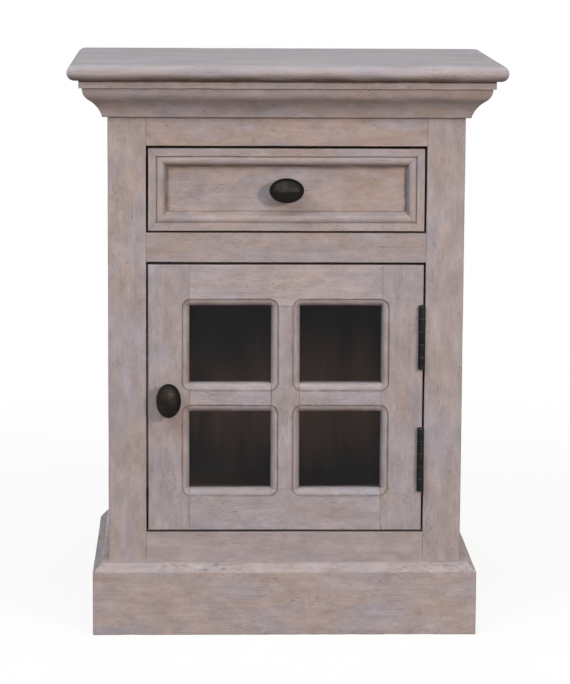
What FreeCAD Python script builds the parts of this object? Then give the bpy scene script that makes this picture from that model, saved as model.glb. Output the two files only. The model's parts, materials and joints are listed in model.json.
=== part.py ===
import FreeCAD, Part
import math
import os
from collections import namedtuple

# Nightstand with one drawer over a glazed four-light door.
# Millimetres, +Z up, the front faces -Y. The origin is on the floor, at the middle of the whole box.

Vector = FreeCAD.Vector
Span = namedtuple("Span", "x0 x1 y0 y1 z0 z1")

# Fits and finishes shared by every piece
overrun = 5.0
same_point = 0.001
joint_clearance = 0.15
running_clearance = 0.3
bore_clearance = 0.05
eased_edge = 1.2
eased_joint = 0.5
tenon_length_share = 0.45
tenon_thickness_share = 0.4
tenon_shoulder_share = 0.22

# Door leaf
pane_width = 85.5
pane_height = 82.0
door_stile_width = 43.0
door_top_rail_height = 43.5
door_bottom_rail_height = 44.0
muntin_width = 30.0
muntin_shoulder_share = 0.32
muntin_tenon_length = 9.0
door_thickness = 20.0
door_side_gap = 2.0
door_top_gap = 2.7
door_bottom_gap = 2.0
face_set_back = 0.5

# Routed edge round each light, and the glazing behind it
sticking_width = 7.3
sticking_step = 1.5
sticking_flat = 1.0
sticking_corner_radius = 9.0
glass_set_back = 12.0
glass_thickness = 3.0
glass_rebate_width = 6.0
glass_play = 1.0
bead_round = 3.0

# Drawer
drawer_front_height = 85.5
drawer_side_gap = 2.2
drawer_top_gap = 2.8
drawer_bottom_gap = 2.1
drawer_border = 8.0
drawer_quirk_width = 0.9
drawer_quirk_depth = 2.0
drawer_bead_width = 7.6
drawer_bead_lip = 1.3
drawer_bead_fall = 2.4
drawer_cove_width = 3.0
drawer_moulding_depth = 8.5
drawer_inner_edge = 0.6
drawer_board_thickness = 12.0
drawer_side_thickness = 12.0
drawer_side_drop = 6.0
drawer_back_thickness = 12.0
drawer_bottom_thickness = 5.0
drawer_bottom_rise = 10.0
drawer_housing = 5.0
drawer_bead_bulge_share = 0.22
drawer_cove_bulge_share = 0.12

# Carcass frame
body_depth = 260.0
post_width = 39.5
post_depth = 28.0
front_rail_thickness = 22.0
bottom_rail_reveal = 31.0
bottom_rail_height = 60.0
mid_rail_height = 30.6
mid_rail_depth = 40.0
top_rail_reveal = 29.8
side_rail_thickness = 20.0
side_panel_thickness = 10.0
side_panel_set_back = 6.0
side_panel_tongue = 7.0
rear_rail_thickness = 20.0
rear_rail_height = 45.0
back_panel_thickness = 6.0
back_panel_lap = 8.0
floor_thickness = 12.0
batten_size = 20.0

# Drawer runners, kickers and stops
runner_reach = 16.5
runner_thickness = 20.0
guide_height = 18.0
kicker_height = 18.0
kicker_clearance = 1.0
stop_length = 16.0
stop_height = 14.0

# Top, cornice and plinth
top_thickness = 17.0
top_overhang = 40.0
fillet_height = 8.0
fillet_overhang = 28.5
cornice_height = 31.0
cornice_foot_overhang = 5.0
cornice_head_overhang = 25.3
cornice_cove_share = (0.20, 0.29)
cornice_turn_share = (0.64, 0.58)
cornice_swell_share = (0.89, 0.74)
plinth_height = 76.0
plinth_thickness = 16.5
plinth_chamfer = 8.5
plinth_arris = 3.0

# Butt hinges
hinge_height = 67.0
hinge_end_distance = 42.5
hinge_barrel_radius = 3.4
hinge_pin_radius = 1.8
hinge_pin_head_radius = 2.7
hinge_pin_head_height = 1.2
hinge_leaf_thickness = 1.4
hinge_leaf_width = 16.0
hinge_knuckles = 5
hinge_knuckle_gap = 0.3
hinge_leaf_corner = 2.0
hinge_screw_height_shares = (0.17, 0.5, 0.83)
hinge_screw_depth_share = 0.55

# Wood screws, with a countersunk head
screw_head_radius = 3.0
screw_shank_radius = 1.5
screw_head_depth = 1.4
screw_tip = 3.0
hinge_screw_length = 13.0
catch_screw_length = 12.0
plate_screw_length = 5.5
plate_screw_tip = 2.0

# Oval knobs and the machine screws that hold them
knob_length = 36.0
knob_width = 26.0
knob_head_depth = 20.0
knob_ridge_offset = 2.8
quarter_turn = 90
knob_projection = 26.0
knob_stem_radius = 5.0
knob_foot_radius = 8.0
knob_foot_edge = 1.2
knob_foot_height = 4.0
knob_screw_radius = 2.0
knob_screw_head_radius = 4.0
knob_screw_head_height = 2.4
knob_screw_grip = 9.0

# Magnetic catch behind the mid rail, and its plate on the door
catch_width = 46.0
catch_body_width = 30.0
catch_depth = 14.0
catch_height = 13.0
catch_ear = 3.0
catch_end_gap = 2.5
magnet_width = 22.0
magnet_height = 6.0
magnet_depth = 8.0
magnet_proud = 0.5
magnet_drop = 8.0
plate_width = 34.0
plate_height = 9.0
plate_thickness = 1.2
plate_corner = 2.0
plate_screw_spread_share = 0.7

# Widths that follow
door_width = 2 * (door_stile_width + pane_width) + muntin_width
opening_x = door_width / 2 + door_side_gap
body_x = opening_x + post_width
door_x = door_width / 2
light_x = door_x - door_stile_width
drawer_x = opening_x - drawer_side_gap
side_rail_x = body_x - side_rail_thickness
panel_x = body_x - side_panel_set_back - side_panel_thickness

# Depths that follow: back_y is the back of the piece, front_y the face of the posts
back_y = (body_depth + top_overhang) / 2
front_y = back_y - body_depth
face_y = front_y + face_set_back
door_back_y = face_y + door_thickness
post_back_y = front_y + post_depth
rear_post_y = back_y - post_depth
back_panel_y = back_y - back_panel_thickness

# Heights that follow, from the floor up
bottom_rail_z = plinth_height + bottom_rail_reveal
door_z = bottom_rail_z + door_bottom_gap
door_height = door_bottom_rail_height + 2 * pane_height + muntin_width + door_top_rail_height
door_top_z = door_z + door_height
mid_rail_z = door_top_z + door_top_gap
runner_z = mid_rail_z + mid_rail_height
drawer_z = runner_z + drawer_bottom_gap
drawer_top_z = drawer_z + drawer_front_height
top_rail_z = drawer_top_z + drawer_top_gap
cornice_z = top_rail_z + top_rail_reveal
fillet_z = cornice_z + cornice_height
top_z = fillet_z + fillet_height
bottom_rail_foot_z = bottom_rail_z - bottom_rail_height

nodes = {}


def keep(name, *solids):
    """Store one node, as a single solid or as a group of separate solids."""
    nodes[name] = solids


def one_solid(shape):
    """The single solid that a cut, union or intersection has to leave."""
    solids = shape.removeSplitter().Solids
    if len(solids) != 1:
        raise ValueError("expected one solid, found %d" % len(solids))
    return solids[0]


def block(span):
    size = Vector(span.x1 - span.x0, span.y1 - span.y0, span.z1 - span.z0)
    return Part.makeBox(size.x, size.y, size.z, Vector(span.x0, span.y0, span.z0))


def grown(span, room):
    """The same span with room added on all six sides."""
    return Span(span.x0 - room, span.x1 + room, span.y0 - room, span.y1 + room,
                span.z0 - room, span.z1 + room)


def let_in(solid, *spans):
    """Cut a glue-tight pocket in the solid for each piece that enters it."""
    for span in spans:
        solid = solid.cut(block(grown(span, joint_clearance)))
    return one_solid(solid)


def mirrored(solid):
    return solid.mirror(Vector(0, 0, 0), Vector(1, 0, 0))


def mirrored_span(span):
    return Span(-span.x1, -span.x0, span.y0, span.y1, span.z0, span.z1)


def eased(solid, radius, *points):
    """Round the edges that pass through the given points."""
    marks = [Part.Vertex(point) for point in points]
    edges = [e for e in solid.Edges if min(e.distToShape(m)[0] for m in marks) < same_point]
    return solid.makeFillet(radius, edges)


def line(start, end):
    return Part.LineSegment(start, end).toShape()


def arc(start, middle, end):
    return Part.Arc(start, middle, end).toShape()


def closed_face(edges):
    return Part.Face(Part.Wire(Part.__sortEdges__(edges)))


def polygon(points):
    return Part.Face(Part.makePolygon(list(points) + [points[0]]))


def bulged(start, end, bulge):
    """Middle point of an arc that leaves its chord by a share of its length, to the left of it."""
    middle = start.add(end).multiply(1 / 2)
    return middle.add(Vector(start.y - end.y, end.x - start.x, 0).multiply(bulge))


def turned(points, seat, direction):
    """Revolve an outline of (radius, distance) points about an axis from seat along direction."""
    outline = polygon([Vector(radius, 0, distance) for radius, distance in points])
    solid = outline.revolve(Vector(0, 0, 0), Vector(0, 0, 1), 360)
    solid.Placement = FreeCAD.Placement(seat, FreeCAD.Rotation(Vector(0, 0, 1), direction))
    return solid


# Mouldings: three mitred runs round the body, and four mitred sticks round a frame

def mitred_runs(section, reach, low_z, high_z):
    """Front, left and right runs of a moulding whose section takes place(out, up) to points."""
    rise = Vector(0, 0, high_z - low_z)
    corner_x = body_x + reach
    corner_y = front_y - reach
    front_plan = polygon([Vector(-body_x, front_y, low_z), Vector(body_x, front_y, low_z),
                          Vector(corner_x, corner_y, low_z), Vector(-corner_x, corner_y, low_z)])
    right_plan = polygon([Vector(body_x, front_y, low_z), Vector(body_x, back_y, low_z),
                          Vector(corner_x, back_y, low_z), Vector(corner_x, corner_y, low_z)])
    front = section(lambda out, up: Vector(-corner_x, front_y - out, up))
    front = front.extrude(Vector(2 * corner_x, 0, 0))
    right = section(lambda out, up: Vector(body_x + out, corner_y, up))
    right = right.extrude(Vector(0, back_y - corner_y, 0))
    front = one_solid(front.common(front_plan.extrude(rise)))
    right = one_solid(right.common(right_plan.extrude(rise)))
    return front, mirrored(right), right


def mitred_frame(x0, x1, z0, z1, section, reach, low_y, high_y):
    """Top, bottom, left and right sticks round a rectangle; the section takes place(inward, depth)."""
    depth = Vector(0, high_y - low_y, 0)
    outer = [Vector(x0, low_y, z0), Vector(x1, low_y, z0), Vector(x1, low_y, z1), Vector(x0, low_y, z1)]
    inner = [Vector(x0 + reach, low_y, z0 + reach), Vector(x1 - reach, low_y, z0 + reach),
             Vector(x1 - reach, low_y, z1 - reach), Vector(x0 + reach, low_y, z1 - reach)]
    along_x = Vector(x1 - x0, 0, 0)
    along_z = Vector(0, 0, z1 - z0)
    sticks = (
        (2, 3, section(lambda u, v: Vector(x0, low_y + v, z1 - u)).extrude(along_x)),
        (0, 1, section(lambda u, v: Vector(x0, low_y + v, z0 + u)).extrude(along_x)),
        (3, 0, section(lambda u, v: Vector(x0 + u, low_y + v, z0)).extrude(along_z)),
        (1, 2, section(lambda u, v: Vector(x1 - u, low_y + v, z0)).extrude(along_z)),
    )
    wedges = [polygon([outer[a], outer[b], inner[b], inner[a]]).extrude(depth) for a, b, stick in sticks]
    return [one_solid(stick.common(wedge)) for (a, b, stick), wedge in zip(sticks, wedges)]


def cornice_section(place):
    """Cyma reversa: a cove rising from the foot, turning into a swell under the fillet."""
    width = cornice_head_overhang - cornice_foot_overhang

    def at(share):
        return place(cornice_foot_overhang + share[0] * width, cornice_z + share[1] * cornice_height)

    foot = place(cornice_foot_overhang, cornice_z)
    head = place(cornice_head_overhang, fillet_z)
    turn = at(cornice_turn_share)
    return closed_face([
        line(place(0, cornice_z), foot),
        arc(foot, at(cornice_cove_share), turn),
        arc(turn, at(cornice_swell_share), head),
        line(head, place(0, fillet_z)),
        line(place(0, fillet_z), place(0, cornice_z)),
    ])


def fillet_section(place):
    return polygon([place(0, fillet_z), place(fillet_overhang, fillet_z),
                    place(fillet_overhang, top_z), place(0, top_z)])


def plinth_section(place):
    return polygon([place(0, 0), place(plinth_thickness, 0),
                    place(plinth_thickness, plinth_height - plinth_chamfer),
                    place(plinth_thickness - plinth_chamfer, plinth_height), place(0, plinth_height)])


def drawer_section(place):
    """Flat border, quirk, falling bead and cove, measured inward and back from the outer front arris."""
    quirk_end = drawer_border + drawer_quirk_width
    bead_end = quirk_end + drawer_bead_width
    cove_end = bead_end + drawer_cove_width
    cove_depth = drawer_moulding_depth - drawer_inner_edge

    def curve(start, end, bulge):
        middle = bulged(Vector(*start), Vector(*end), bulge)
        return arc(place(*start), place(middle.x, middle.y), place(*end))

    bead_start = (quirk_end, drawer_bead_lip)
    bead_foot = (bead_end, drawer_bead_fall)
    return closed_face([
        line(place(0, drawer_moulding_depth), place(0, 0)),
        line(place(0, 0), place(drawer_border, 0)),
        line(place(drawer_border, 0), place(drawer_border, drawer_quirk_depth)),
        line(place(drawer_border, drawer_quirk_depth), place(quirk_end, drawer_quirk_depth)),
        line(place(quirk_end, drawer_quirk_depth), place(*bead_start)),
        curve(bead_start, bead_foot, -drawer_bead_bulge_share),
        curve(bead_foot, (cove_end, cove_depth), drawer_cove_bulge_share),
        line(place(cove_end, cove_depth), place(cove_end, drawer_moulding_depth)),
        line(place(cove_end, drawer_moulding_depth), place(0, drawer_moulding_depth)),
    ])


def bead_section(place):
    depth = door_thickness - glass_set_back - glass_thickness
    return polygon([place(0, 0), place(glass_rebate_width, 0), place(glass_rebate_width, depth - bead_round),
                    place(glass_rebate_width - bead_round, depth), place(0, depth)])


# Spans of the pieces that enter others: tenons, panels and boards

def rail_tenon(rail, receiver):
    """Tenon on the right end of a rail that runs along X."""
    thickness = (rail.y1 - rail.y0) * tenon_thickness_share
    height = rail.z1 - rail.z0
    middle_y = (rail.y0 + rail.y1) / 2
    shoulder = height * tenon_shoulder_share
    return Span(rail.x1, rail.x1 + receiver * tenon_length_share, middle_y - thickness / 2,
                middle_y + thickness / 2, rail.z0 + shoulder, rail.z1 - shoulder)


def side_tenons(rail):
    """Front and rear tenons of a rail that runs along Y."""
    thickness = (rail.x1 - rail.x0) * tenon_thickness_share
    middle_x = (rail.x0 + rail.x1) / 2
    shoulder = (rail.z1 - rail.z0) * tenon_shoulder_share
    length = post_depth * tenon_length_share
    cheek = (middle_x - thickness / 2, middle_x + thickness / 2)
    rise = (rail.z0 + shoulder, rail.z1 - shoulder)
    return (Span(*cheek, rail.y0 - length, rail.y0, *rise), Span(*cheek, rail.y1, rail.y1 + length, *rise))


front_top_rail = Span(-opening_x, opening_x, front_y, front_y + front_rail_thickness, top_rail_z, top_z)
front_mid_rail = Span(-opening_x, opening_x, front_y, front_y + mid_rail_depth, mid_rail_z, runner_z)
front_bottom_rail = Span(-opening_x, opening_x, front_y, front_y + front_rail_thickness,
                         bottom_rail_foot_z, bottom_rail_z)
rear_rail_y = back_panel_y - rear_rail_thickness
rear_top_rail = Span(-opening_x, opening_x, rear_rail_y, back_panel_y, top_z - rear_rail_height, top_z)
rear_bottom_rail = Span(-opening_x, opening_x, rear_rail_y, back_panel_y, bottom_rail_foot_z, bottom_rail_z)
side_top_rail = Span(side_rail_x, body_x, post_back_y, rear_post_y, top_rail_z, top_z)
side_bottom_rail = Span(side_rail_x, body_x, post_back_y, rear_post_y, bottom_rail_foot_z, bottom_rail_z)
side_panel = Span(panel_x, panel_x + side_panel_thickness, post_back_y - side_panel_tongue,
                  rear_post_y + side_panel_tongue, bottom_rail_z - side_panel_tongue,
                  top_rail_z + side_panel_tongue)
back_panel = Span(-opening_x - back_panel_lap, opening_x + back_panel_lap, back_panel_y, back_y,
                  bottom_rail_foot_z, top_z)


# Screws

def wood_screw(seat, direction, head_depth, length, tip, room):
    """Countersunk screw, flush at its seat; room widens it into the hole that it needs."""
    outline = [(0, 0), (screw_head_radius + room, 0), (screw_shank_radius + room, head_depth),
               (screw_shank_radius + room, length - tip + room), (0, length + room)]
    return turned(outline, seat, direction)


hinge_pin_x = opening_x - hinge_barrel_radius
hinge_pin_y = face_y - hinge_barrel_radius - running_clearance
hinge_leaf_back_y = face_y + hinge_leaf_width
hinge_screw_y = face_y + hinge_leaf_width * hinge_screw_depth_share
lower_hinge_z = door_z + hinge_end_distance
upper_hinge_z = door_top_z - hinge_end_distance - hinge_height
post_leaf_x = opening_x - hinge_leaf_thickness
door_leaf_x = hinge_pin_x - hinge_barrel_radius
door_screw_x = door_leaf_x + hinge_leaf_thickness

catch_x = catch_end_gap + catch_width / 2 - opening_x
catch_y = door_back_y + plate_thickness + running_clearance + magnet_proud
catch_z = mid_rail_z - catch_ear
catch_screw_x = (catch_width + catch_body_width) / 4
plate_z = mid_rail_z - magnet_drop


def hinge_screws(seat_x, direction, room):
    seats = [Vector(seat_x, hinge_screw_y, low_z + hinge_height * share)
             for low_z in (lower_hinge_z, upper_hinge_z) for share in hinge_screw_height_shares]
    return [wood_screw(seat, direction, screw_head_depth, hinge_screw_length, screw_tip, room)
            for seat in seats]


def post_screws(room):
    return hinge_screws(post_leaf_x, Vector(1, 0, 0), room)


def door_leaf_screws(room):
    return hinge_screws(door_screw_x, Vector(-1, 0, 0), room)


def catch_screws(room):
    seats = [Vector(catch_x + side * catch_screw_x, catch_y + catch_depth / 2, catch_z) for side in (-1, 1)]
    return [wood_screw(seat, Vector(0, 0, 1), screw_head_depth, catch_screw_length, screw_tip, room)
            for seat in seats]


def plate_screws(room):
    reach = plate_width / 2 * plate_screw_spread_share
    seats = [Vector(catch_x + side * reach, door_back_y + plate_thickness, plate_z) for side in (-1, 1)]
    return [wood_screw(seat, Vector(0, -1, 0), plate_thickness, plate_screw_length, plate_screw_tip, room)
            for seat in seats]


def bored(solid, holes):
    """The solid with every hole that reaches it cut out."""
    for hole in holes:
        solid = solid.cut(hole)
    return one_solid(solid)


# Carcass

def make_top():
    """Board with a half-round nose on the front and both ends, and a square back edge."""
    nose = top_thickness / 2
    end_x = body_x + top_overhang
    nose_y = front_y - top_overhang
    high_z = top_z + top_thickness
    middle_z = top_z + nose
    across = closed_face([
        line(Vector(nose - end_x, nose_y, top_z), Vector(end_x - nose, nose_y, top_z)),
        arc(Vector(end_x - nose, nose_y, top_z), Vector(end_x, nose_y, middle_z),
            Vector(end_x - nose, nose_y, high_z)),
        line(Vector(end_x - nose, nose_y, high_z), Vector(nose - end_x, nose_y, high_z)),
        arc(Vector(nose - end_x, nose_y, high_z), Vector(-end_x, nose_y, middle_z),
            Vector(nose - end_x, nose_y, top_z)),
    ])
    along = closed_face([
        line(Vector(-end_x, back_y, top_z), Vector(-end_x, nose_y + nose, top_z)),
        arc(Vector(-end_x, nose_y + nose, top_z), Vector(-end_x, nose_y, middle_z),
            Vector(-end_x, nose_y + nose, high_z)),
        line(Vector(-end_x, nose_y + nose, high_z), Vector(-end_x, back_y, high_z)),
        line(Vector(-end_x, back_y, high_z), Vector(-end_x, back_y, top_z)),
    ])
    board = across.extrude(Vector(0, back_y - nose_y, 0))
    return one_solid(board.common(along.extrude(Vector(2 * end_x, 0, 0))))


def make_plinth():
    front, left, right = mitred_runs(plinth_section, plinth_thickness, 0, plinth_height)
    shoulder_z = plinth_height - plinth_chamfer
    front = eased(front, plinth_arris, Vector(0, front_y - plinth_thickness, shoulder_z))
    right = eased(right, plinth_arris, Vector(body_x + plinth_thickness, 0, shoulder_z))
    return front, mirrored(right), right


def make_posts():
    """Right front and right rear posts, with mortises, panel grooves and the rebate for the back."""
    front = block(Span(opening_x, body_x, front_y, post_back_y, 0, top_z))
    half_z = top_z / 2
    front = eased(front, eased_edge, Vector(body_x, front_y, half_z))
    front = eased(front, eased_joint, Vector(opening_x, front_y, half_z))
    rear = block(Span(opening_x, body_x, rear_post_y, back_y, 0, top_z))
    rear = eased(rear, eased_edge, Vector(body_x, back_y, half_z))
    front_rails = (front_top_rail, front_mid_rail, front_bottom_rail)
    front_pockets = [rail_tenon(rail, post_width) for rail in front_rails]
    rear_pockets = [rail_tenon(rail, post_width) for rail in (rear_top_rail, rear_bottom_rail)]
    for rail in (side_top_rail, side_bottom_rail):
        front_tenon, rear_tenon = side_tenons(rail)
        front_pockets.append(front_tenon)
        rear_pockets.append(rear_tenon)
    front = let_in(front, side_panel, *front_pockets)
    rear = let_in(rear, side_panel, back_panel, *rear_pockets)
    return front, rear


def make_rail(span):
    """Rail between two posts, with a tenon at each end."""
    tenon = rail_tenon(span, post_width)
    return one_solid(block(span).fuse([block(tenon), block(mirrored_span(tenon))]))


def make_front_rail(span, *eased_heights):
    """Rail whose front arrises are eased at the given heights and at both shoulders."""
    middle_z = (span.z0 + span.z1) / 2
    points = [Vector(0, front_y, height) for height in eased_heights]
    points += [Vector(-opening_x, front_y, middle_z), Vector(opening_x, front_y, middle_z)]
    return eased(make_rail(span), eased_joint, *points)


def make_side_rail(span):
    """Right side rail with a tenon at each end and a groove for the side panel."""
    tenons = [block(tenon) for tenon in side_tenons(span)]
    return let_in(one_solid(block(span).fuse(tenons)), side_panel)


def make_floor():
    span = Span(-side_rail_x, side_rail_x, front_bottom_rail.y1, rear_bottom_rail.y0,
                bottom_rail_z - floor_thickness, bottom_rail_z)
    posts = [Span(opening_x, body_x, front_y, post_back_y, 0, top_z),
             Span(opening_x, body_x, rear_post_y, back_y, 0, top_z)]
    return let_in(block(span), *posts, *[mirrored_span(post) for post in posts])


def make_battens():
    """Battens under the floor and under the top, along the left and right side rails."""
    floor_under_z = bottom_rail_z - floor_thickness
    spans = [Span(side_rail_x - batten_size, side_rail_x, post_back_y, rear_post_y,
                  high_z - batten_size, high_z) for high_z in (floor_under_z, top_z)]
    return [block(span) for span in spans] + [block(mirrored_span(span)) for span in spans]


def make_runner():
    """Right runner: a tread for the drawer side and a guide beside it, notched round the mid rail."""
    tread_x = opening_x - runner_reach
    guide_x = drawer_x + running_clearance
    low_z = runner_z - runner_thickness
    guide_z = runner_z + guide_height
    outline = [(tread_x, low_z), (panel_x, low_z), (panel_x, guide_z), (guide_x, guide_z),
               (guide_x, runner_z), (tread_x, runner_z)]
    section = polygon([Vector(x, post_back_y, z) for x, z in outline])
    runner = section.extrude(Vector(0, rear_post_y - post_back_y, 0))
    return one_solid(runner.cut(block(front_mid_rail)))


def make_kicker():
    low_z = drawer_top_z - drawer_side_drop + kicker_clearance
    return block(Span(opening_x - runner_reach, side_rail_x, post_back_y, rear_post_y,
                      low_z, low_z + kicker_height))


def make_stop():
    return block(Span(opening_x - runner_reach, drawer_x + running_clearance, rear_post_y - stop_length,
                      rear_post_y, runner_z, runner_z + stop_height))


# Hinges

def make_leaf(low_z, plate_x, first_knuckle, holes):
    """One hinge leaf: a flat plate tangent to its knuckles, which alternate with the other leaf's."""
    pitch = hinge_height / hinge_knuckles
    plate_y = hinge_pin_y + hinge_barrel_radius + running_clearance
    plate = block(Span(plate_x, plate_x + hinge_leaf_thickness, plate_y, hinge_leaf_back_y,
                       low_z, low_z + hinge_height))
    middle_x = plate_x + hinge_leaf_thickness / 2
    plate = eased(plate, hinge_leaf_corner, Vector(middle_x, hinge_leaf_back_y, low_z),
                  Vector(middle_x, hinge_leaf_back_y, low_z + hinge_height))
    knuckles = []
    for place in range(first_knuckle, hinge_knuckles, 2):
        foot_z = low_z + place * pitch + hinge_knuckle_gap / 2
        length = pitch - hinge_knuckle_gap
        centre = Vector(hinge_pin_x, hinge_pin_y, foot_z)
        barrel = Part.makeCylinder(hinge_barrel_radius, length, centre)
        web = block(Span(plate_x, plate_x + hinge_leaf_thickness, hinge_pin_y, plate_y,
                         foot_z, foot_z + length))
        knuckles += [barrel, web]
    leaf = one_solid(plate.fuse(knuckles))
    bore_foot = Vector(hinge_pin_x, hinge_pin_y, low_z - overrun)
    bore = Part.makeCylinder(hinge_pin_radius + bore_clearance, hinge_height + 2 * overrun, bore_foot)
    return bored(leaf, [bore] + holes)


def make_pin(low_z):
    """Loose pin with a button head resting on the top knuckle."""
    high = hinge_height - hinge_knuckle_gap / 2
    head = high + hinge_pin_head_height
    shoulder = high + hinge_pin_head_height / 2
    outline = [(0, 0), (hinge_pin_radius, 0), (hinge_pin_radius, high), (hinge_pin_head_radius, high),
               (hinge_pin_head_radius, shoulder), (hinge_pin_radius, head), (0, head)]
    return turned(outline, Vector(hinge_pin_x, hinge_pin_y, low_z), Vector(0, 0, 1))


# Knobs

def make_knob(seat, turn):
    """Upright oval head, ridged along its length, turned about its stem, with a blind hole for its screw."""
    half_width = knob_width / 2 + knob_ridge_offset
    ridge_share = math.sqrt(1 - (knob_ridge_offset / half_width) ** 2)
    scale = FreeCAD.Matrix()
    scale.scale(half_width, knob_head_depth / 2 / ridge_share, knob_length / 2 / ridge_share)
    left_shell = Part.makeSphere(1).transformGeometry(scale)
    right_shell = left_shell.copy()
    left_shell.translate(Vector(-knob_ridge_offset, 0, 0))
    right_shell.translate(Vector(knob_ridge_offset, 0, 0))
    head = left_shell.common(right_shell)
    head.rotate(Vector(0, 0, 0), Vector(0, 1, 0), turn)
    centre = knob_projection - knob_head_depth / 2
    head.translate(Vector(seat.x, seat.y - centre, seat.z))
    outline = [(0, 0), (knob_foot_radius, 0), (knob_foot_radius, knob_foot_edge),
               (knob_stem_radius, knob_foot_height), (knob_stem_radius, centre), (0, centre)]
    stem = turned(outline, seat, Vector(0, -1, 0))
    hole_depth = knob_screw_grip + running_clearance
    hole = Part.makeCylinder(knob_screw_radius + bore_clearance, hole_depth, seat, Vector(0, -1, 0))
    return one_solid(head.fuse(stem).cut(hole))


def make_knob_screw(seat, wood):
    """Machine screw from the back of the wood into the knob."""
    start = Vector(seat.x, seat.y + wood + knob_screw_head_height, seat.z)
    high = knob_screw_head_height
    tip = high + wood + knob_screw_grip
    outline = [(0, 0), (knob_screw_head_radius, 0), (knob_screw_head_radius, high),
               (knob_screw_radius, high), (knob_screw_radius, tip), (0, tip)]
    return turned(outline, start, Vector(0, -1, 0))


def knob_hole(seat, wood):
    start = Vector(seat.x, seat.y - overrun, seat.z)
    return Part.makeCylinder(knob_screw_radius + bore_clearance, wood + 2 * overrun, start, Vector(0, 1, 0))


# Door

lights = [(side_x, side_x + pane_width, low_z, low_z + pane_height)
          for low_z in (door_z + door_bottom_rail_height,
                        door_z + door_bottom_rail_height + pane_height + muntin_width)
          for side_x in (-light_x, muntin_width / 2)]


def rounded_prism(x0, x1, z0, z1, radius, y0, y1):
    """Rectangle with rounded corners, extruded along Y."""
    prism = block(Span(x0, x1, y0, y1, z0, z1))
    middle_y = (y0 + y1) / 2
    return eased(prism, radius, *[Vector(x, middle_y, z) for x in (x0, x1) for z in (z0, z1)])


def make_door_blank():
    """The whole leaf as it leaves the router: four lights, each stepped, rounded over and rebated."""
    blank = block(Span(-door_x, door_x, face_y, door_back_y, door_z, door_top_z))
    middle_z = (door_z + door_top_z) / 2
    blank = eased(blank, eased_edge, Vector(-door_x, face_y, middle_z), Vector(door_x, face_y, middle_z),
                  Vector(0, face_y, door_z), Vector(0, face_y, door_top_z))
    floor_y = face_y + sticking_step
    inner_radius = sticking_corner_radius - sticking_width
    for x0, x1, z0, z1 in lights:
        through = rounded_prism(x0, x1, z0, z1, inner_radius, face_y - overrun, door_back_y + overrun)
        step = rounded_prism(x0 - sticking_width, x1 + sticking_width, z0 - sticking_width,
                             z1 + sticking_width, sticking_corner_radius, face_y - overrun, floor_y)
        rebate = block(Span(x0 - glass_rebate_width, x1 + glass_rebate_width, face_y + glass_set_back,
                            door_back_y + overrun, z0 - glass_rebate_width, z1 + glass_rebate_width))
        blank = blank.cut(through.fuse([step, rebate]))
    edges = [edge for edge in blank.Edges if on_light_edge(edge, floor_y)]
    return blank.makeFillet(sticking_width - sticking_flat, edges)


def on_light_edge(edge, level_y):
    """True for the inner edges at the foot of the routed step, which are rounded over."""
    box = edge.BoundBox
    flat = abs(box.YMin - level_y) < same_point and abs(box.YMax - level_y) < same_point
    inside = any(x0 - same_point < box.XMin and box.XMax < x1 + same_point and
                 z0 - same_point < box.ZMin and box.ZMax < z1 + same_point for x0, x1, z0, z1 in lights)
    return flat and inside


def make_door():
    """Stiles, rails and muntins cut from the routed leaf, with tenons where one enters another."""
    blank = make_door_blank()
    low_z = door_z + door_bottom_rail_height
    high_z = door_top_z - door_top_rail_height
    bar_z = low_z + pane_height
    bar_x = muntin_width / 2
    depth = (face_y, door_back_y)
    hinge_stile = Span(light_x, door_x, *depth, door_z, door_top_z)
    top_rail = Span(-light_x, light_x, *depth, high_z, door_top_z)
    bottom_rail = Span(-light_x, light_x, *depth, door_z, low_z)
    upright = Span(-bar_x, bar_x, *depth, low_z, high_z)
    crossbar = Span(bar_x, light_x, *depth, bar_z, bar_z + muntin_width)

    tenon_y = (depth[0] + depth[1] - door_thickness * tenon_thickness_share) / 2
    cheek = (tenon_y, tenon_y + door_thickness * tenon_thickness_share)
    stub = muntin_width * muntin_shoulder_share
    rail_tenons = [rail_tenon(rail, door_stile_width) for rail in (top_rail, bottom_rail)]
    upright_tenons = [Span(stub - bar_x, bar_x - stub, *cheek, low_z - muntin_tenon_length, low_z),
                      Span(stub - bar_x, bar_x - stub, *cheek, high_z, high_z + muntin_tenon_length)]
    outer_stub = Span(light_x, light_x + muntin_tenon_length, *cheek, crossbar.z0 + stub, crossbar.z1 - stub)
    inner_stub = Span(bar_x - muntin_tenon_length, bar_x, *cheek, crossbar.z0 + stub, crossbar.z1 - stub)

    def member(span, *tenons):
        piece = blank.common(block(span))
        return one_solid(piece.fuse([block(tenon) for tenon in tenons]) if tenons else piece)

    stile = let_in(member(hinge_stile), *rail_tenons, outer_stub)
    recesses = [Span(door_leaf_x, door_x + overrun, face_y - overrun, hinge_leaf_back_y, foot_z,
                     foot_z + hinge_height) for foot_z in (lower_hinge_z, upper_hinge_z)]
    knob_holes = [knob_hole(door_knob_seat, door_thickness)] + plate_screws(bore_clearance)
    knob_stile = bored(mirrored(stile), knob_holes)
    keep("door_hinge_stile", bored(let_in(stile, *recesses), door_leaf_screws(bore_clearance)))
    keep("door_knob_stile", knob_stile)
    for name, rail, tenon, stub_tenon in (
        ("door_top_rail", top_rail, rail_tenons[0], upright_tenons[1]),
        ("door_bottom_rail", bottom_rail, rail_tenons[1], upright_tenons[0]),
    ):
        keep(name, let_in(member(rail, tenon, mirrored_span(tenon)), stub_tenon))
    upright_piece = member(upright, *upright_tenons)
    keep("door_vertical_muntin", let_in(upright_piece, inner_stub, mirrored_span(inner_stub)))
    cross_piece = member(crossbar, outer_stub, inner_stub)
    keep("door_cross_muntins", mirrored(cross_piece), cross_piece)


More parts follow.
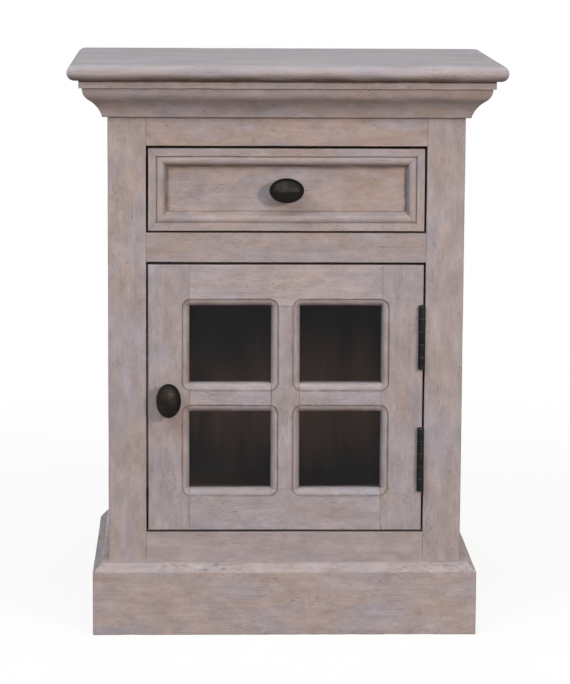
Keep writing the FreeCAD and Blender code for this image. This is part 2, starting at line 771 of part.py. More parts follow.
def make_glazing():
    """Four panes seated in the rebates, each held by four mitred beads."""
    glass_y = face_y + glass_set_back
    bead_y = glass_y + glass_thickness
    reach = glass_rebate_width - glass_play
    room = glass_rebate_width - joint_clearance
    panes = []
    beads = []
    for x0, x1, z0, z1 in lights:
        panes.append(block(Span(x0 - reach, x1 + reach, glass_y, bead_y, z0 - reach, z1 + reach)))
        beads += mitred_frame(x0 - room, x1 + room, z0 - room, z1 + room, bead_section, glass_rebate_width,
                              bead_y, door_back_y)
    keep("glass_panes", *panes)
    keep("glazing_beads", *beads)


# Drawer

def make_drawer():
    board_y = face_y + drawer_moulding_depth
    board_back_y = board_y + drawer_board_thickness
    rear_y = rear_post_y - stop_length - running_clearance
    inner_x = drawer_x - drawer_side_thickness
    low_z = runner_z + running_clearance
    high_z = drawer_top_z - drawer_side_drop
    bottom_z = low_z + drawer_bottom_rise
    bottom_top_z = bottom_z + drawer_bottom_thickness
    moulding_width = drawer_border + drawer_quirk_width + drawer_bead_width + drawer_cove_width

    side = Span(inner_x, drawer_x, board_back_y - drawer_housing, rear_y, low_z, high_z)
    bottom = Span(-inner_x - drawer_housing, inner_x + drawer_housing, board_back_y - drawer_housing, rear_y,
                  bottom_z, bottom_top_z)
    back = Span(-inner_x - drawer_housing, inner_x + drawer_housing, rear_y - drawer_back_thickness, rear_y,
                bottom_top_z + joint_clearance, high_z)

    board = block(Span(-drawer_x, drawer_x, board_y, board_back_y, drawer_z, drawer_top_z))
    board = let_in(board, side, mirrored_span(side), bottom)
    keep("drawer_front_board", bored(board, [knob_hole(drawer_knob_seat, drawer_board_thickness)]))
    sticks = mitred_frame(-drawer_x, drawer_x, drawer_z, drawer_top_z, drawer_section, moulding_width,
                          face_y, board_y)
    middle_z = (drawer_z + drawer_top_z) / 2
    arrises = (Vector(0, face_y, drawer_top_z), Vector(0, face_y, drawer_z),
               Vector(-drawer_x, face_y, middle_z), Vector(drawer_x, face_y, middle_z))
    for place, stick, arris in zip(("top", "bottom", "left", "right"), sticks, arrises):
        keep("drawer_%s_moulding" % place, eased(stick, eased_joint, arris))
    side_piece = let_in(block(side), bottom, back)
    keep("drawer_right_side", side_piece)
    keep("drawer_left_side", mirrored(side_piece))
    keep("drawer_bottom", block(bottom))
    keep("drawer_back", block(back))


# Catch

def make_catch():
    """Eared housing under the mid rail, with the magnet in its front."""
    half_body = catch_body_width / 2
    half_ears = catch_width / 2
    low_z = mid_rail_z - catch_height
    outline = [(-half_ears, mid_rail_z), (half_ears, mid_rail_z), (half_ears, catch_z), (half_body, catch_z),
               (half_body, low_z), (-half_body, low_z), (-half_body, catch_z), (-half_ears, catch_z)]
    section = polygon([Vector(catch_x + x, catch_y, z) for x, z in outline])
    housing = section.extrude(Vector(0, catch_depth, 0))
    magnet_y = catch_y - magnet_proud
    magnet = Span(catch_x - magnet_width / 2, catch_x + magnet_width / 2, magnet_y, magnet_y + magnet_depth,
                  plate_z - magnet_height / 2, plate_z + magnet_height / 2)
    keep("catch_housing", bored(let_in(housing, magnet), catch_screws(bore_clearance)))
    keep("catch_magnet", block(magnet))
    half_plate = plate_width / 2
    half_rise = plate_height / 2
    plate = rounded_prism(catch_x - half_plate, catch_x + half_plate, plate_z - half_rise,
                          plate_z + half_rise, plate_corner, door_back_y, door_back_y + plate_thickness)
    keep("catch_plate", bored(plate, plate_screws(bore_clearance)))


# Assembly

door_knob_seat = Vector(door_stile_width / 2 - door_x, face_y, (door_z + door_top_z) / 2)
drawer_knob_seat = Vector(0, face_y + drawer_moulding_depth, (drawer_z + drawer_top_z) / 2)

keep("top_board", make_top())
for group, pieces in (
    ("cornice", mitred_runs(cornice_section, cornice_head_overhang, cornice_z, fillet_z)),
    ("fillet", mitred_runs(fillet_section, fillet_overhang, fillet_z, top_z)),
    ("plinth", make_plinth()),
):
    for place, piece in zip(("front", "left", "right"), pieces):
        keep("%s_%s" % (group, place), piece)

front_post, rear_post = make_posts()
keep("left_front_post", mirrored(front_post))
keep("right_front_post", bored(front_post, post_screws(bore_clearance)))
keep("left_rear_post", mirrored(rear_post))
keep("right_rear_post", rear_post)
keep("front_top_rail", make_front_rail(front_top_rail, top_rail_z))
mid_rail = make_front_rail(front_mid_rail, mid_rail_z, runner_z)
keep("front_mid_rail", bored(mid_rail, catch_screws(bore_clearance)))
keep("front_bottom_rail", make_front_rail(front_bottom_rail, bottom_rail_z))
keep("rear_top_rail", make_rail(rear_top_rail))
keep("rear_bottom_rail", make_rail(rear_bottom_rail))
for name, piece in (
    ("side_panel", block(side_panel)),
    ("side_top_rail", make_side_rail(side_top_rail)),
    ("side_bottom_rail", make_side_rail(side_bottom_rail)),
):
    keep("left_" + name, mirrored(piece))
    keep("right_" + name, piece)
keep("back_panel", block(back_panel))
keep("cabinet_floor", make_floor())
keep("fixing_battens", *make_battens())
for name, piece in (
    ("drawer_runners", make_runner()),
    ("drawer_kickers", make_kicker()),
    ("drawer_stops", make_stop()),
):
    keep(name, mirrored(piece), piece)

make_door()
make_glazing()
make_drawer()
make_catch()

hinge_feet = (lower_hinge_z, upper_hinge_z)
post_holes = post_screws(bore_clearance)
door_holes = door_leaf_screws(bore_clearance)
keep("hinge_post_leaves", *[make_leaf(foot, post_leaf_x, 0, post_holes) for foot in hinge_feet])
keep("hinge_door_leaves", *[make_leaf(foot, door_leaf_x, 1, door_holes) for foot in hinge_feet])
keep("hinge_pins", *[make_pin(foot) for foot in hinge_feet])
keep("carcass_screws", *post_screws(0), *catch_screws(0))
keep("door_screws", *door_leaf_screws(0), *plate_screws(0))

keep("door_knob", make_knob(door_knob_seat, 0))
keep("door_knob_screw", make_knob_screw(door_knob_seat, door_thickness))
keep("drawer_knob", make_knob(drawer_knob_seat, quarter_turn))
keep("drawer_knob_screw", make_knob_screw(drawer_knob_seat, drawer_board_thickness))

os.makedirs("parts", exist_ok=True)
for name, solids in nodes.items():
    shape = solids[0] if len(solids) == 1 else Part.Compound(list(solids))
    shape.exportStep("parts/%s.step" % name)
print(len(nodes), "nodes,", sum(len(solids) for solids in nodes.values()), "solids")
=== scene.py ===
import json
import math
import random

import bmesh
import bpy
from bpy.props import FloatProperty, FloatVectorProperty, PointerProperty
from bpy.types import Operator, Panel, PropertyGroup
from mathutils import Matrix, Vector, noise


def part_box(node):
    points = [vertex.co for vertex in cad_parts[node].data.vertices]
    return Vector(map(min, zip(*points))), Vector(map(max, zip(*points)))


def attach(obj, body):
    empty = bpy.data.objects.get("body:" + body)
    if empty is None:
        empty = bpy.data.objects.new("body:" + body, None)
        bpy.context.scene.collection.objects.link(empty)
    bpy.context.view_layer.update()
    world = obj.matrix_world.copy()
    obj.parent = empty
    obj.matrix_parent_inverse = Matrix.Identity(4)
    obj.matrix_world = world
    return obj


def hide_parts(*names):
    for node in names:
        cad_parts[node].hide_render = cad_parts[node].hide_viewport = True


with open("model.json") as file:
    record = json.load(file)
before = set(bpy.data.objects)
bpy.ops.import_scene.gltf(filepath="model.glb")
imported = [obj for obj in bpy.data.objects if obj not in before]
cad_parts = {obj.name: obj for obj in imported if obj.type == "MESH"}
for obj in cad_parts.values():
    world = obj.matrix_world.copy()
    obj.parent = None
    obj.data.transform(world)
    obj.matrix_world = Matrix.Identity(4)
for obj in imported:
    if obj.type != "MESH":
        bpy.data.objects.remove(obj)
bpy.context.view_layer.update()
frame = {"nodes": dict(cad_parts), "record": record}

bl_info = {
    "name": "Limed Nightstand",
    "version": (1, 0, 0),
    "blender": (4, 5, 0),
    "location": "View3D > Sidebar > Nightstand",
    "description": "Dresses the nightstand's frame with limed wood, glass, bronze and steel",
    "category": "Object",
}

NODES = frame["nodes"]
BODY_OF = {node: body for body, group in frame["record"]["behaviour"]["bodies"].items() for node in group}
BODIES = sorted(set(BODY_OF.values()))
MM = 0.001
# Settings that many nodes share
SMOOTH = {"interpolation_type": "SMOOTHSTEP"}
COLOURS = {"data_type": "RGBA"}

# The direction that the grain runs in on each limed board
GRAIN_X = (
    "top_board", "cornice_front", "fillet_front", "plinth_front", "front_top_rail", "front_mid_rail",
    "front_bottom_rail", "door_top_rail", "door_bottom_rail", "door_cross_muntins",
    "drawer_front_board", "drawer_top_moulding", "drawer_bottom_moulding",
)
GRAIN_Y = (
    "cornice_left", "cornice_right", "fillet_left", "fillet_right", "plinth_left", "plinth_right",
    "left_side_top_rail", "right_side_top_rail", "left_side_bottom_rail", "right_side_bottom_rail",
)
GRAIN_Z = (
    "left_front_post", "right_front_post", "left_rear_post", "right_rear_post",
    "left_side_panel", "right_side_panel", "door_knob_stile", "door_hinge_stile",
    "door_vertical_muntin", "drawer_left_moulding", "drawer_right_moulding",
)
# Millimetres: how far off a board's own spot in the grain may lie
SPOT_RANGE = 4000
# Seed of the hand planing: without one, Blender takes it from the clock, and no two runs are the same
PLANING_SEED = 1
# Millimetres: the length of a planing wave and of a nick, and how far apart the bodies lie in the waves
PLANING_WAVE = 55
NICK_LENGTH = 18
BODY_STEP = 700
# How much of the nicks' noise is left out, so that most of an arris stays whole
NICK_LEFT_OUT = 0.15
# Metres: points this close are merged, and points this close to a cut lie on it
MERGE_DISTANCE = 0.002 * MM
CUT_DISTANCE = 0.01 * MM
SLOT_CUT_DISTANCE = 0.001 * MM
# Faces that turn less than the first angle are one face, and more than the second meet in a sharp edge
FLAT_ANGLE = math.radians(0.6)
SHARP_ANGLE = math.radians(35)
# Share of its length by which an arris has to run along the grain
ALONG_GRAIN = 0.9
# Turns that bring each grain direction onto X
TURN_TO_X = {"X": (0, 0, 0), "Y": (0, 0, -math.pi / 2), "Z": (0, math.pi / 2, 0)}

# How much bare wood shows on a board, from 0 to 1, and how light its wash is
BOARD_LOOK = {
    "top_board": (0.05, 1), "front_top_rail": (0.75, 1), "front_mid_rail": (0.5, 0.97),
    "front_bottom_rail": (0.25, 1.02), "left_front_post": (0.4, 1.045), "right_front_post": (0.25, 1.04),
    "plinth_front": (0.45, 1.09), "drawer_front_board": (0.7, 0.97), "drawer_top_moulding": (0.6, 1.02),
    "drawer_bottom_moulding": (0.55, 1.02), "door_top_rail": (0.3, 1.1), "door_bottom_rail": (0, 1.06),
    "door_knob_stile": (0.2, 1.04), "door_hinge_stile": (0.15, 1.03), "door_vertical_muntin": (0.1, 1.05),
    "door_cross_muntins": (0.1, 1.1),
}
PLAIN_LOOK = (0.35, 1)
# Wide boards, on which the wash was brushed out in longer and fainter strokes: how much longer than wide a
# patch of the wash is, and how strongly it shows
WIDE_BOARDS = ("top_board", "left_side_panel", "right_side_panel")
WIDE_STROKE = (4.5, 0.75)
SHORT_STROKE = (2, 1)
# Millimetres: the door's middle height, the lights' middles, their straight sides and outer rounding
DOOR_MIDDLE = 250
LIGHT_MIDDLE = (57.75, 0, 56)
LIGHT_STRAIGHT = (41.05, 0, 39.3)
LIGHT_ROUND = 9
# Millimetres: the upper corner of the drawer's field, and the heights of the field's foot, the cornice's
# middle, the top's underside and the middle of the plinth's chamfer
FIELD_CORNER = (123.8, 0, 491.9)
FIELD_FOOT = 445.4
COVE_MIDDLE = 559.5
TOP_FOOT = 583
CHAMFER_MIDDLE = 71.5
# Millimetres: the feet of the two hinges and their height
HINGE_FEET = (151.5, 281)
HINGE_HEIGHT = 67
# Shares: how far a slot reaches across its screw's head and at most into it, and how thin a tip ends
SLOT_REACH = 0.62
SLOT_FLOOR = 0.6
TIP_END = 0.25
# Where the screws stand in a hinge, as shares of its height
HINGE_HOLES = (0.17, 0.5, 0.83)
# Millimetres: each screw's head radius, head depth, shank radius, whole length and tip; last, if it is sunk
HINGE_SCREW = (3, 1.4, 1.5, 13, 3, True)
CATCH_SCREW = (3, 1.4, 1.5, 12, 3, True)
PLATE_SCREW = (3, 1.2, 1.5, 5.5, 2, True)
DOOR_KNOB_SCREW = (4, 2.4, 2, 31.4, 1, False)
DRAWER_KNOB_SCREW = (4, 2.4, 2, 23.4, 1, False)
# Millimetres: where the faces of the screws' heads lie
POST_SEAT_X, LEAF_SEAT_X, HINGE_SEAT_Y = 144.1, 140.1, -100.7
CATCH_SEATS = ((-139, -80.5, 390.2), (-101, -80.5, 390.2))
PLATE_SEATS = ((-131.9, -88.3, 385.2), (-108.1, -88.3, 385.2))
DOOR_KNOB_SEAT = (-122, -87.1, 249.75)
DRAWER_KNOB_SEAT = (0, -86.6, 468.65)
# Ways that a screw points
RIGHT, LEFT, UP, FRONT = (1, 0, 0), (-1, 0, 0), (0, 0, 1), (0, -1, 0)
# Millimetres: a knob's foot and stem from its screw hole outwards, as radius and distance from the wood,
# and the depth of its head
KNOB_STEM = ((0, 9.3), (2.05, 9.3), (2.05, 0), (8, 0), (8, 1.2), (5, 4), (5, 10.5), (0, 10.5))
KNOB_DEPTH = 20
# Millimetres: the middle of the patch of painted light on the back board, and one over its reach each way
LIGHT_PATCH_SPOT = (35, 0, 203)
LIGHT_PATCH_REACH = (1 / 190, 0, 1 / 95)
# Metres: half the floor that lies in the dark under the plinth, how softly the dark ends, how far from the
# middle the floor starts to turn plain white and has done so, and half its width
UNDERSIDE = (0.16, 0.09, 0)
UNDERSIDE_EDGE = 0.03
WHITE_START, WHITE_END = 0.6, 1.6
FLOOR_HALF = 60
# The camera's place in metres, and its yaw, pitch and roll in degrees
CAMERA_PLACE = (-0.09491, -3.18618, 0.79171)
CAMERA_TURN = (1.753, -8.904, 0.327)


def linear(code):
    """Turn an sRGB hex colour into the linear colour that a shader takes."""
    parts = [int(code[place:place + 2], 16) / 255 for place in (0, 2, 4)]
    return tuple(p / 12.92 if p <= 0.04045 else ((p + 0.055) / 1.055) ** 2.4 for p in parts)


def colour(title, text, code):
    return FloatVectorProperty(name=title, description=text, default=linear(code), subtype="COLOR",
                               size=3, min=0, max=1)


def length(title, text, millimetres):
    return FloatProperty(name=title, description=text, default=millimetres * MM, min=0,
                         subtype="DISTANCE", unit="LENGTH", precision=5)


def share(title, text, value):
    return FloatProperty(name=title, description=text, default=value, min=0, max=1, subtype="FACTOR")


class NightstandWood(PropertyGroup):
    """Colours and grain of the wood."""
    lime: colour("Lime wash", "Pinkish grey wash that covers most of a board", "A29494")
    cool: colour("Cool cloud", "Mauve grey where the wash lies thicker", "9E959C")
    warm: colour("Warm wood", "Bare wood that shows through the wash", "AD9182")
    pore: colour("Pore", "Dark stain left in pores, pits and scratches", "4E443F")
    # The stain colour also paints the shade in hollows, corners and under the top's nose
    stain: colour("Stain", "Brown stain left in joints and round mouldings", "5A463B")
    inside: colour("Inside stain", "Stain on the inside boards", "7C604C")
    drawer: colour("Drawer wood", "Plain sawn wood of the drawer box", "A9835F")
    back: colour("Back board", "Dark stain on the back board", "463D37")
    # Painted light: the brown of the back board's patch where light through the panes would fall
    faded: colour("Faded stain", "Brown of the back board where light has faded its stain", "8F705A")
    cloud_size: length("Cloud size", "Width of the clouds in the wash", 40)
    mottle_size: length("Mottle size", "Width of the uneven patches in the wash", 13)
    streak_width: length("Streak width", "Width of one streak of grain", 3.2)
    pore_width: length("Pore width", "Width of one pore, drawn wide enough to show", 0.9)
    edge_width: length("Edge width", "How far the stain spreads from an edge", 0.8)
    edge_stain: share("Edge stain", "How dark the stain is along an edge", 0.4)
    wear_step: length("Wear step", "Distance between two cuts along a board that can move", 10)
    wear_drift: length("Hand planing", "How far a hand-planed face drifts", 0.3)
    wear_nick: length("Nick depth", "Scale of the nicks, the deepest of which are about half of it", 1.3)
    wear_reach: length("Wear reach", "How far the wear of an edge reaches into a face", 3)


class NightstandFittings(PropertyGroup):
    """Colours and sizes of the knobs, hinges, screws, glass and catch."""
    bronze: colour("Bronze", "Dark antique bronze of the knobs", "242221")
    rubbed: colour("Rubbed bronze", "Bronze where hands have rubbed it", "342B26")
    black: colour("Blackened steel", "Steel of the hinges and their screws", "262828")
    steel: colour("Bright steel", "Knob screws and the catch plate", "B9B8B4")
    glass: colour("Glass", "Faint grey in the panes", "CACAD2")
    catch: colour("Catch housing", "Brown moulded housing of the catch", "4B3529")
    magnet: colour("Magnet", "Grey sintered magnet", "3A3A3C")
    knob_ridge: length("Knob ridge", "How far the two flanks of a knob are set apart, 0 for no ridge", 10)
    knob_blunt: FloatProperty(name="Knob ends", description="How blunt a knob's ends are, 2 for an ellipse",
                              default=2, min=1)
    slot_width: length("Slot width", "Width of a screw's slot", 0.9)
    slot_depth: length("Slot depth", "Depth of a screw's slot", 0.8)


class NightstandStage(PropertyGroup):
    """Floor, light and camera."""
    floor: colour("Floor", "Matt floor, lifted to white where it is seen", "66625E")
    soft_light: FloatProperty(name="Soft light", description="Strength of the light all round",
                              default=0.05, min=0)
    floor_lift: FloatProperty(name="Floor lift", description="Glow that makes the lit floor white",
                              default=0.88, min=0)
    top_power: FloatProperty(name="Upper lamp", description="Power of the wide lamp above",
                             default=63, min=0, unit="POWER")
    main_power: FloatProperty(name="Main lamp", description="Power of the lamp on the right",
                              default=62, min=0, unit="POWER")
    second_power: FloatProperty(name="Second lamp", description="Power of the lamp on the left",
                                default=31, min=0, unit="POWER")
    front_power: FloatProperty(name="Front lamp", description="Power of the wide lamp in front",
                               default=26, min=0, unit="POWER")
    rear_power: FloatProperty(name="Rear lamp", description="Power of the small lamp behind",
                              default=48, min=0, unit="POWER")
    focal: FloatProperty(name="Lens", description="Focal length in millimetres on a 36 mm sensor",
                         default=157.21, min=1, subtype="DISTANCE_CAMERA")


def add(tree, kind, settings, inputs, output=0):
    """Add one node and give one of its outputs: inputs are socket values or links."""
    node = tree.nodes.new("ShaderNode" + kind)
    for key, value in settings.items():
        setattr(node, key, value)
    for key, value in inputs.items():
        if isinstance(value, bpy.types.NodeSocket):
            tree.links.new(value, node.inputs[key])
        else:
            node.inputs[key].default_value = value
    return node.outputs[output] if node.outputs else None


def rgba(triple):
    return (*triple, 1)


def new_material(name):
    material = bpy.data.materials.new(name)
    material.use_nodes = True
    material.node_tree.nodes.clear()
    return material, material.node_tree


def finish_material(tree, inputs):
    add(tree, "OutputMaterial", {}, {"Surface": add(tree, "BsdfPrincipled", {}, inputs)})


def part_place(tree):
    """Place on the part in millimetres."""
    place = add(tree, "TexCoord", {}, {}, "Object")
    return add(tree, "Mapping", {}, {"Vector": place, "Scale": (1 / MM, 1 / MM, 1 / MM)})


def grain_place(tree, grain, seed):
    """Place in millimetres, with the grain along X and a spot of its own for every board."""
    draw = random.Random(seed)
    spot = tuple(draw.uniform(-SPOT_RANGE, SPOT_RANGE) for axis in range(3))
    place = add(tree, "TexCoord", {}, {}, "Object")
    return add(tree, "Mapping", {}, {"Vector": place, "Location": spot, "Rotation": TURN_TO_X[grain],
                                     "Scale": (1 / MM, 1 / MM, 1 / MM)})


def patches(tree, place, along, across, detail, rough, output="Fac"):
    """Noise whose patches are along by across millimetres."""
    fine = add(tree, "VectorMath", {"operation": "MULTIPLY"},
               {0: place, 1: (1 / along, 1 / across, 1 / across)})
    return add(tree, "TexNoise", {}, {"Vector": fine, "Scale": 1, "Detail": detail, "Roughness": rough},
               output)


def light_outline(tree):
    """A dark line, stain with painted shade, where the routed edge of each light meets the face of the door,
    and painted shade on the routed slopes that look down or to the right."""
    flat = add(tree, "VectorMath", {"operation": "MULTIPLY_ADD"},
               {0: part_place(tree), 1: (1, 0, 1), 2: (0, 0, -DOOR_MIDDLE)})
    for middle in (LIGHT_MIDDLE, LIGHT_STRAIGHT):
        flat = add(tree, "VectorMath", {"operation": "ABSOLUTE"}, {0: flat})
        flat = add(tree, "VectorMath", {"operation": "SUBTRACT"}, {0: flat, 1: middle})
    out = add(tree, "VectorMath", {"operation": "MAXIMUM"}, {0: flat, 1: (0, 0, 0)})
    away = add(tree, "VectorMath", {"operation": "LENGTH"}, {0: out}, "Value")
    miss = add(tree, "Math", {"operation": "SUBTRACT"}, {0: away, 1: LIGHT_ROUND})
    near = add(tree, "Math", {"operation": "ABSOLUTE"}, {0: miss})
    line = add(tree, "MapRange", SMOOTH,
               {"Value": near, "From Min": 0.3, "From Max": 1.4, "To Min": 0.5, "To Max": 0})
    # Painted shade: routed slopes are darkened by the way they face, most where they look down and less where
    # they look right
    facing = add(tree, "TexCoord", {}, {}, "Normal")
    slope = add(tree, "VectorMath", {"operation": "DOT_PRODUCT"}, {0: facing, 1: (0.4, 0, -0.8)}, "Value")
    painted_slope_shade = add(tree, "MapRange", {}, {"Value": slope, "From Min": 0.05, "From Max": 0.6, "To Max": 0.38})
    return add(tree, "Math", {"operation": "MAXIMUM"}, {0: line, 1: painted_slope_shade})


def field_outline(tree):
    """Painted shade mixed with stain in the angle between the drawer's field and the moulding above it and on
    both sides, where those mouldings shade the field, and stain on the thin line where the field meets the
    moulding under it."""
    place = add(tree, "VectorMath", {"operation": "ABSOLUTE"}, {0: part_place(tree)})
    inset = add(tree, "VectorMath", {"operation": "SUBTRACT"}, {0: FIELD_CORNER, 1: place})
    side = add(tree, "SeparateXYZ", {}, {0: inset}, "X")
    level = add(tree, "SeparateXYZ", {}, {0: inset}, "Z")
    least = add(tree, "Math", {"operation": "MINIMUM"}, {0: side, 1: level})
    # Painted shade with stain: up to 4 mm of the field under the top moulding and beside the side mouldings
    inner = add(tree, "MapRange", SMOOTH,
                {"Value": least, "From Min": 0, "From Max": 4, "To Min": 0.65, "To Max": 0})
    outer = add(tree, "MapRange", SMOOTH,
                {"Value": least, "From Min": -2.5, "From Max": -1})
    angle = add(tree, "Math", {"operation": "MULTIPLY"}, {0: inner, 1: outer})
    height = add(tree, "SeparateXYZ", {}, {0: place}, "Z")
    up = add(tree, "Math", {"operation": "SUBTRACT"}, {0: height, 1: FIELD_FOOT})
    above = add(tree, "MapRange", {}, {"Value": up, "From Min": -0.5, "From Max": 0.5})
    angle = add(tree, "Math", {"operation": "MULTIPLY"}, {0: angle, 1: above})
    near = add(tree, "Math", {"operation": "ABSOLUTE"}, {0: up})
    line = add(tree, "MapRange", SMOOTH,
               {"Value": near, "From Min": 0.3, "From Max": 1.6, "To Min": 0.45, "To Max": 0})
    within = add(tree, "MapRange", {}, {"Value": side, "From Min": -1, "From Max": 0})
    line = add(tree, "Math", {"operation": "MULTIPLY"}, {0: line, 1: within})
    return add(tree, "Math", {"operation": "MAXIMUM"}, {0: angle, 1: line})


def cove_depth(tree):
    """Painted shade: 1 in the hollow of the cornice and along its two quirks."""
    height = add(tree, "SeparateXYZ", {}, {0: part_place(tree)}, "Z")
    up = add(tree, "Math", {"operation": "SUBTRACT"}, {0: height, 1: COVE_MIDDLE})
    near = add(tree, "Math", {"operation": "ABSOLUTE"}, {0: up})
    hollow = add(tree, "MapRange", SMOOTH,
                 {"Value": near, "From Min": 2, "From Max": 9, "To Min": 0.15, "To Max": 0})
    quirk = add(tree, "MapRange", SMOOTH,
                {"Value": near, "From Min": 14.4, "From Max": 15.5, "To Min": 0, "To Max": 0.6})
    return add(tree, "Math", {"operation": "MAXIMUM"}, {0: hollow, 1: quirk})


def nose_underside(tree):
    """Painted shade: 1 along the foot of the top's rounded nose and on the edge of the fillet that it shades.
    """
    height = add(tree, "SeparateXYZ", {}, {0: part_place(tree)}, "Z")
    over = add(tree, "MapRange", SMOOTH,
               {"Value": height, "From Min": TOP_FOOT, "From Max": TOP_FOOT + 9, "To Min": 1, "To Max": 0})
    under = add(tree, "MapRange", SMOOTH,
                {"Value": height, "From Min": TOP_FOOT - 2.5, "From Max": TOP_FOOT - 0.8})
    return add(tree, "Math", {"operation": "MULTIPLY"}, {0: over, 1: under})


def chamfer_wear(tree):
    """Dark specks of stain left in the open grain along the chamfer of the plinth."""
    place = part_place(tree)
    height = add(tree, "SeparateXYZ", {}, {0: place}, "Z")
    up = add(tree, "Math", {"operation": "SUBTRACT"}, {0: height, 1: CHAMFER_MIDDLE})
    near = add(tree, "Math", {"operation": "ABSOLUTE"}, {0: up})
    band = add(tree, "MapRange", SMOOTH,
               {"Value": near, "From Min": 3, "From Max": 8, "To Min": 0.5, "To Max": 0})
    crowd = add(tree, "MapRange", SMOOTH,
                {"Value": patches(tree, place, 70, 70, 1, 0.5), "From Min": 0.42, "From Max": 0.62})
    band = add(tree, "Math", {"operation": "MULTIPLY"}, {0: band, 1: crowd})
    speck = add(tree, "MapRange", SMOOTH,
                {"Value": patches(tree, place, 6, 4, 2, 0.5), "From Min": 0.5, "From Max": 0.72})
    return add(tree, "Math", {"operation": "MULTIPLY"}, {0: band, 1: speck})


# Boards with painted shade in a corner, a hollow or under the top's nose, mixed with stain on the door and
# the drawer, and the plinth, whose chamfer keeps specks of stain
STAIN_AND_SHADE = {
    **dict.fromkeys(("door_knob_stile", "door_hinge_stile", "door_top_rail", "door_bottom_rail",
                     "door_vertical_muntin", "door_cross_muntins"), light_outline),
    **dict.fromkeys(("drawer_front_board", "drawer_top_moulding", "drawer_bottom_moulding",
                     "drawer_left_moulding", "drawer_right_moulding"), field_outline),
    **dict.fromkeys(("cornice_front", "cornice_left", "cornice_right"), cove_depth),
    **dict.fromkeys(("top_board", "fillet_front", "fillet_left", "fillet_right"), nose_underside),
    **dict.fromkeys(("plinth_front", "plinth_left", "plinth_right"), chamfer_wear),
}


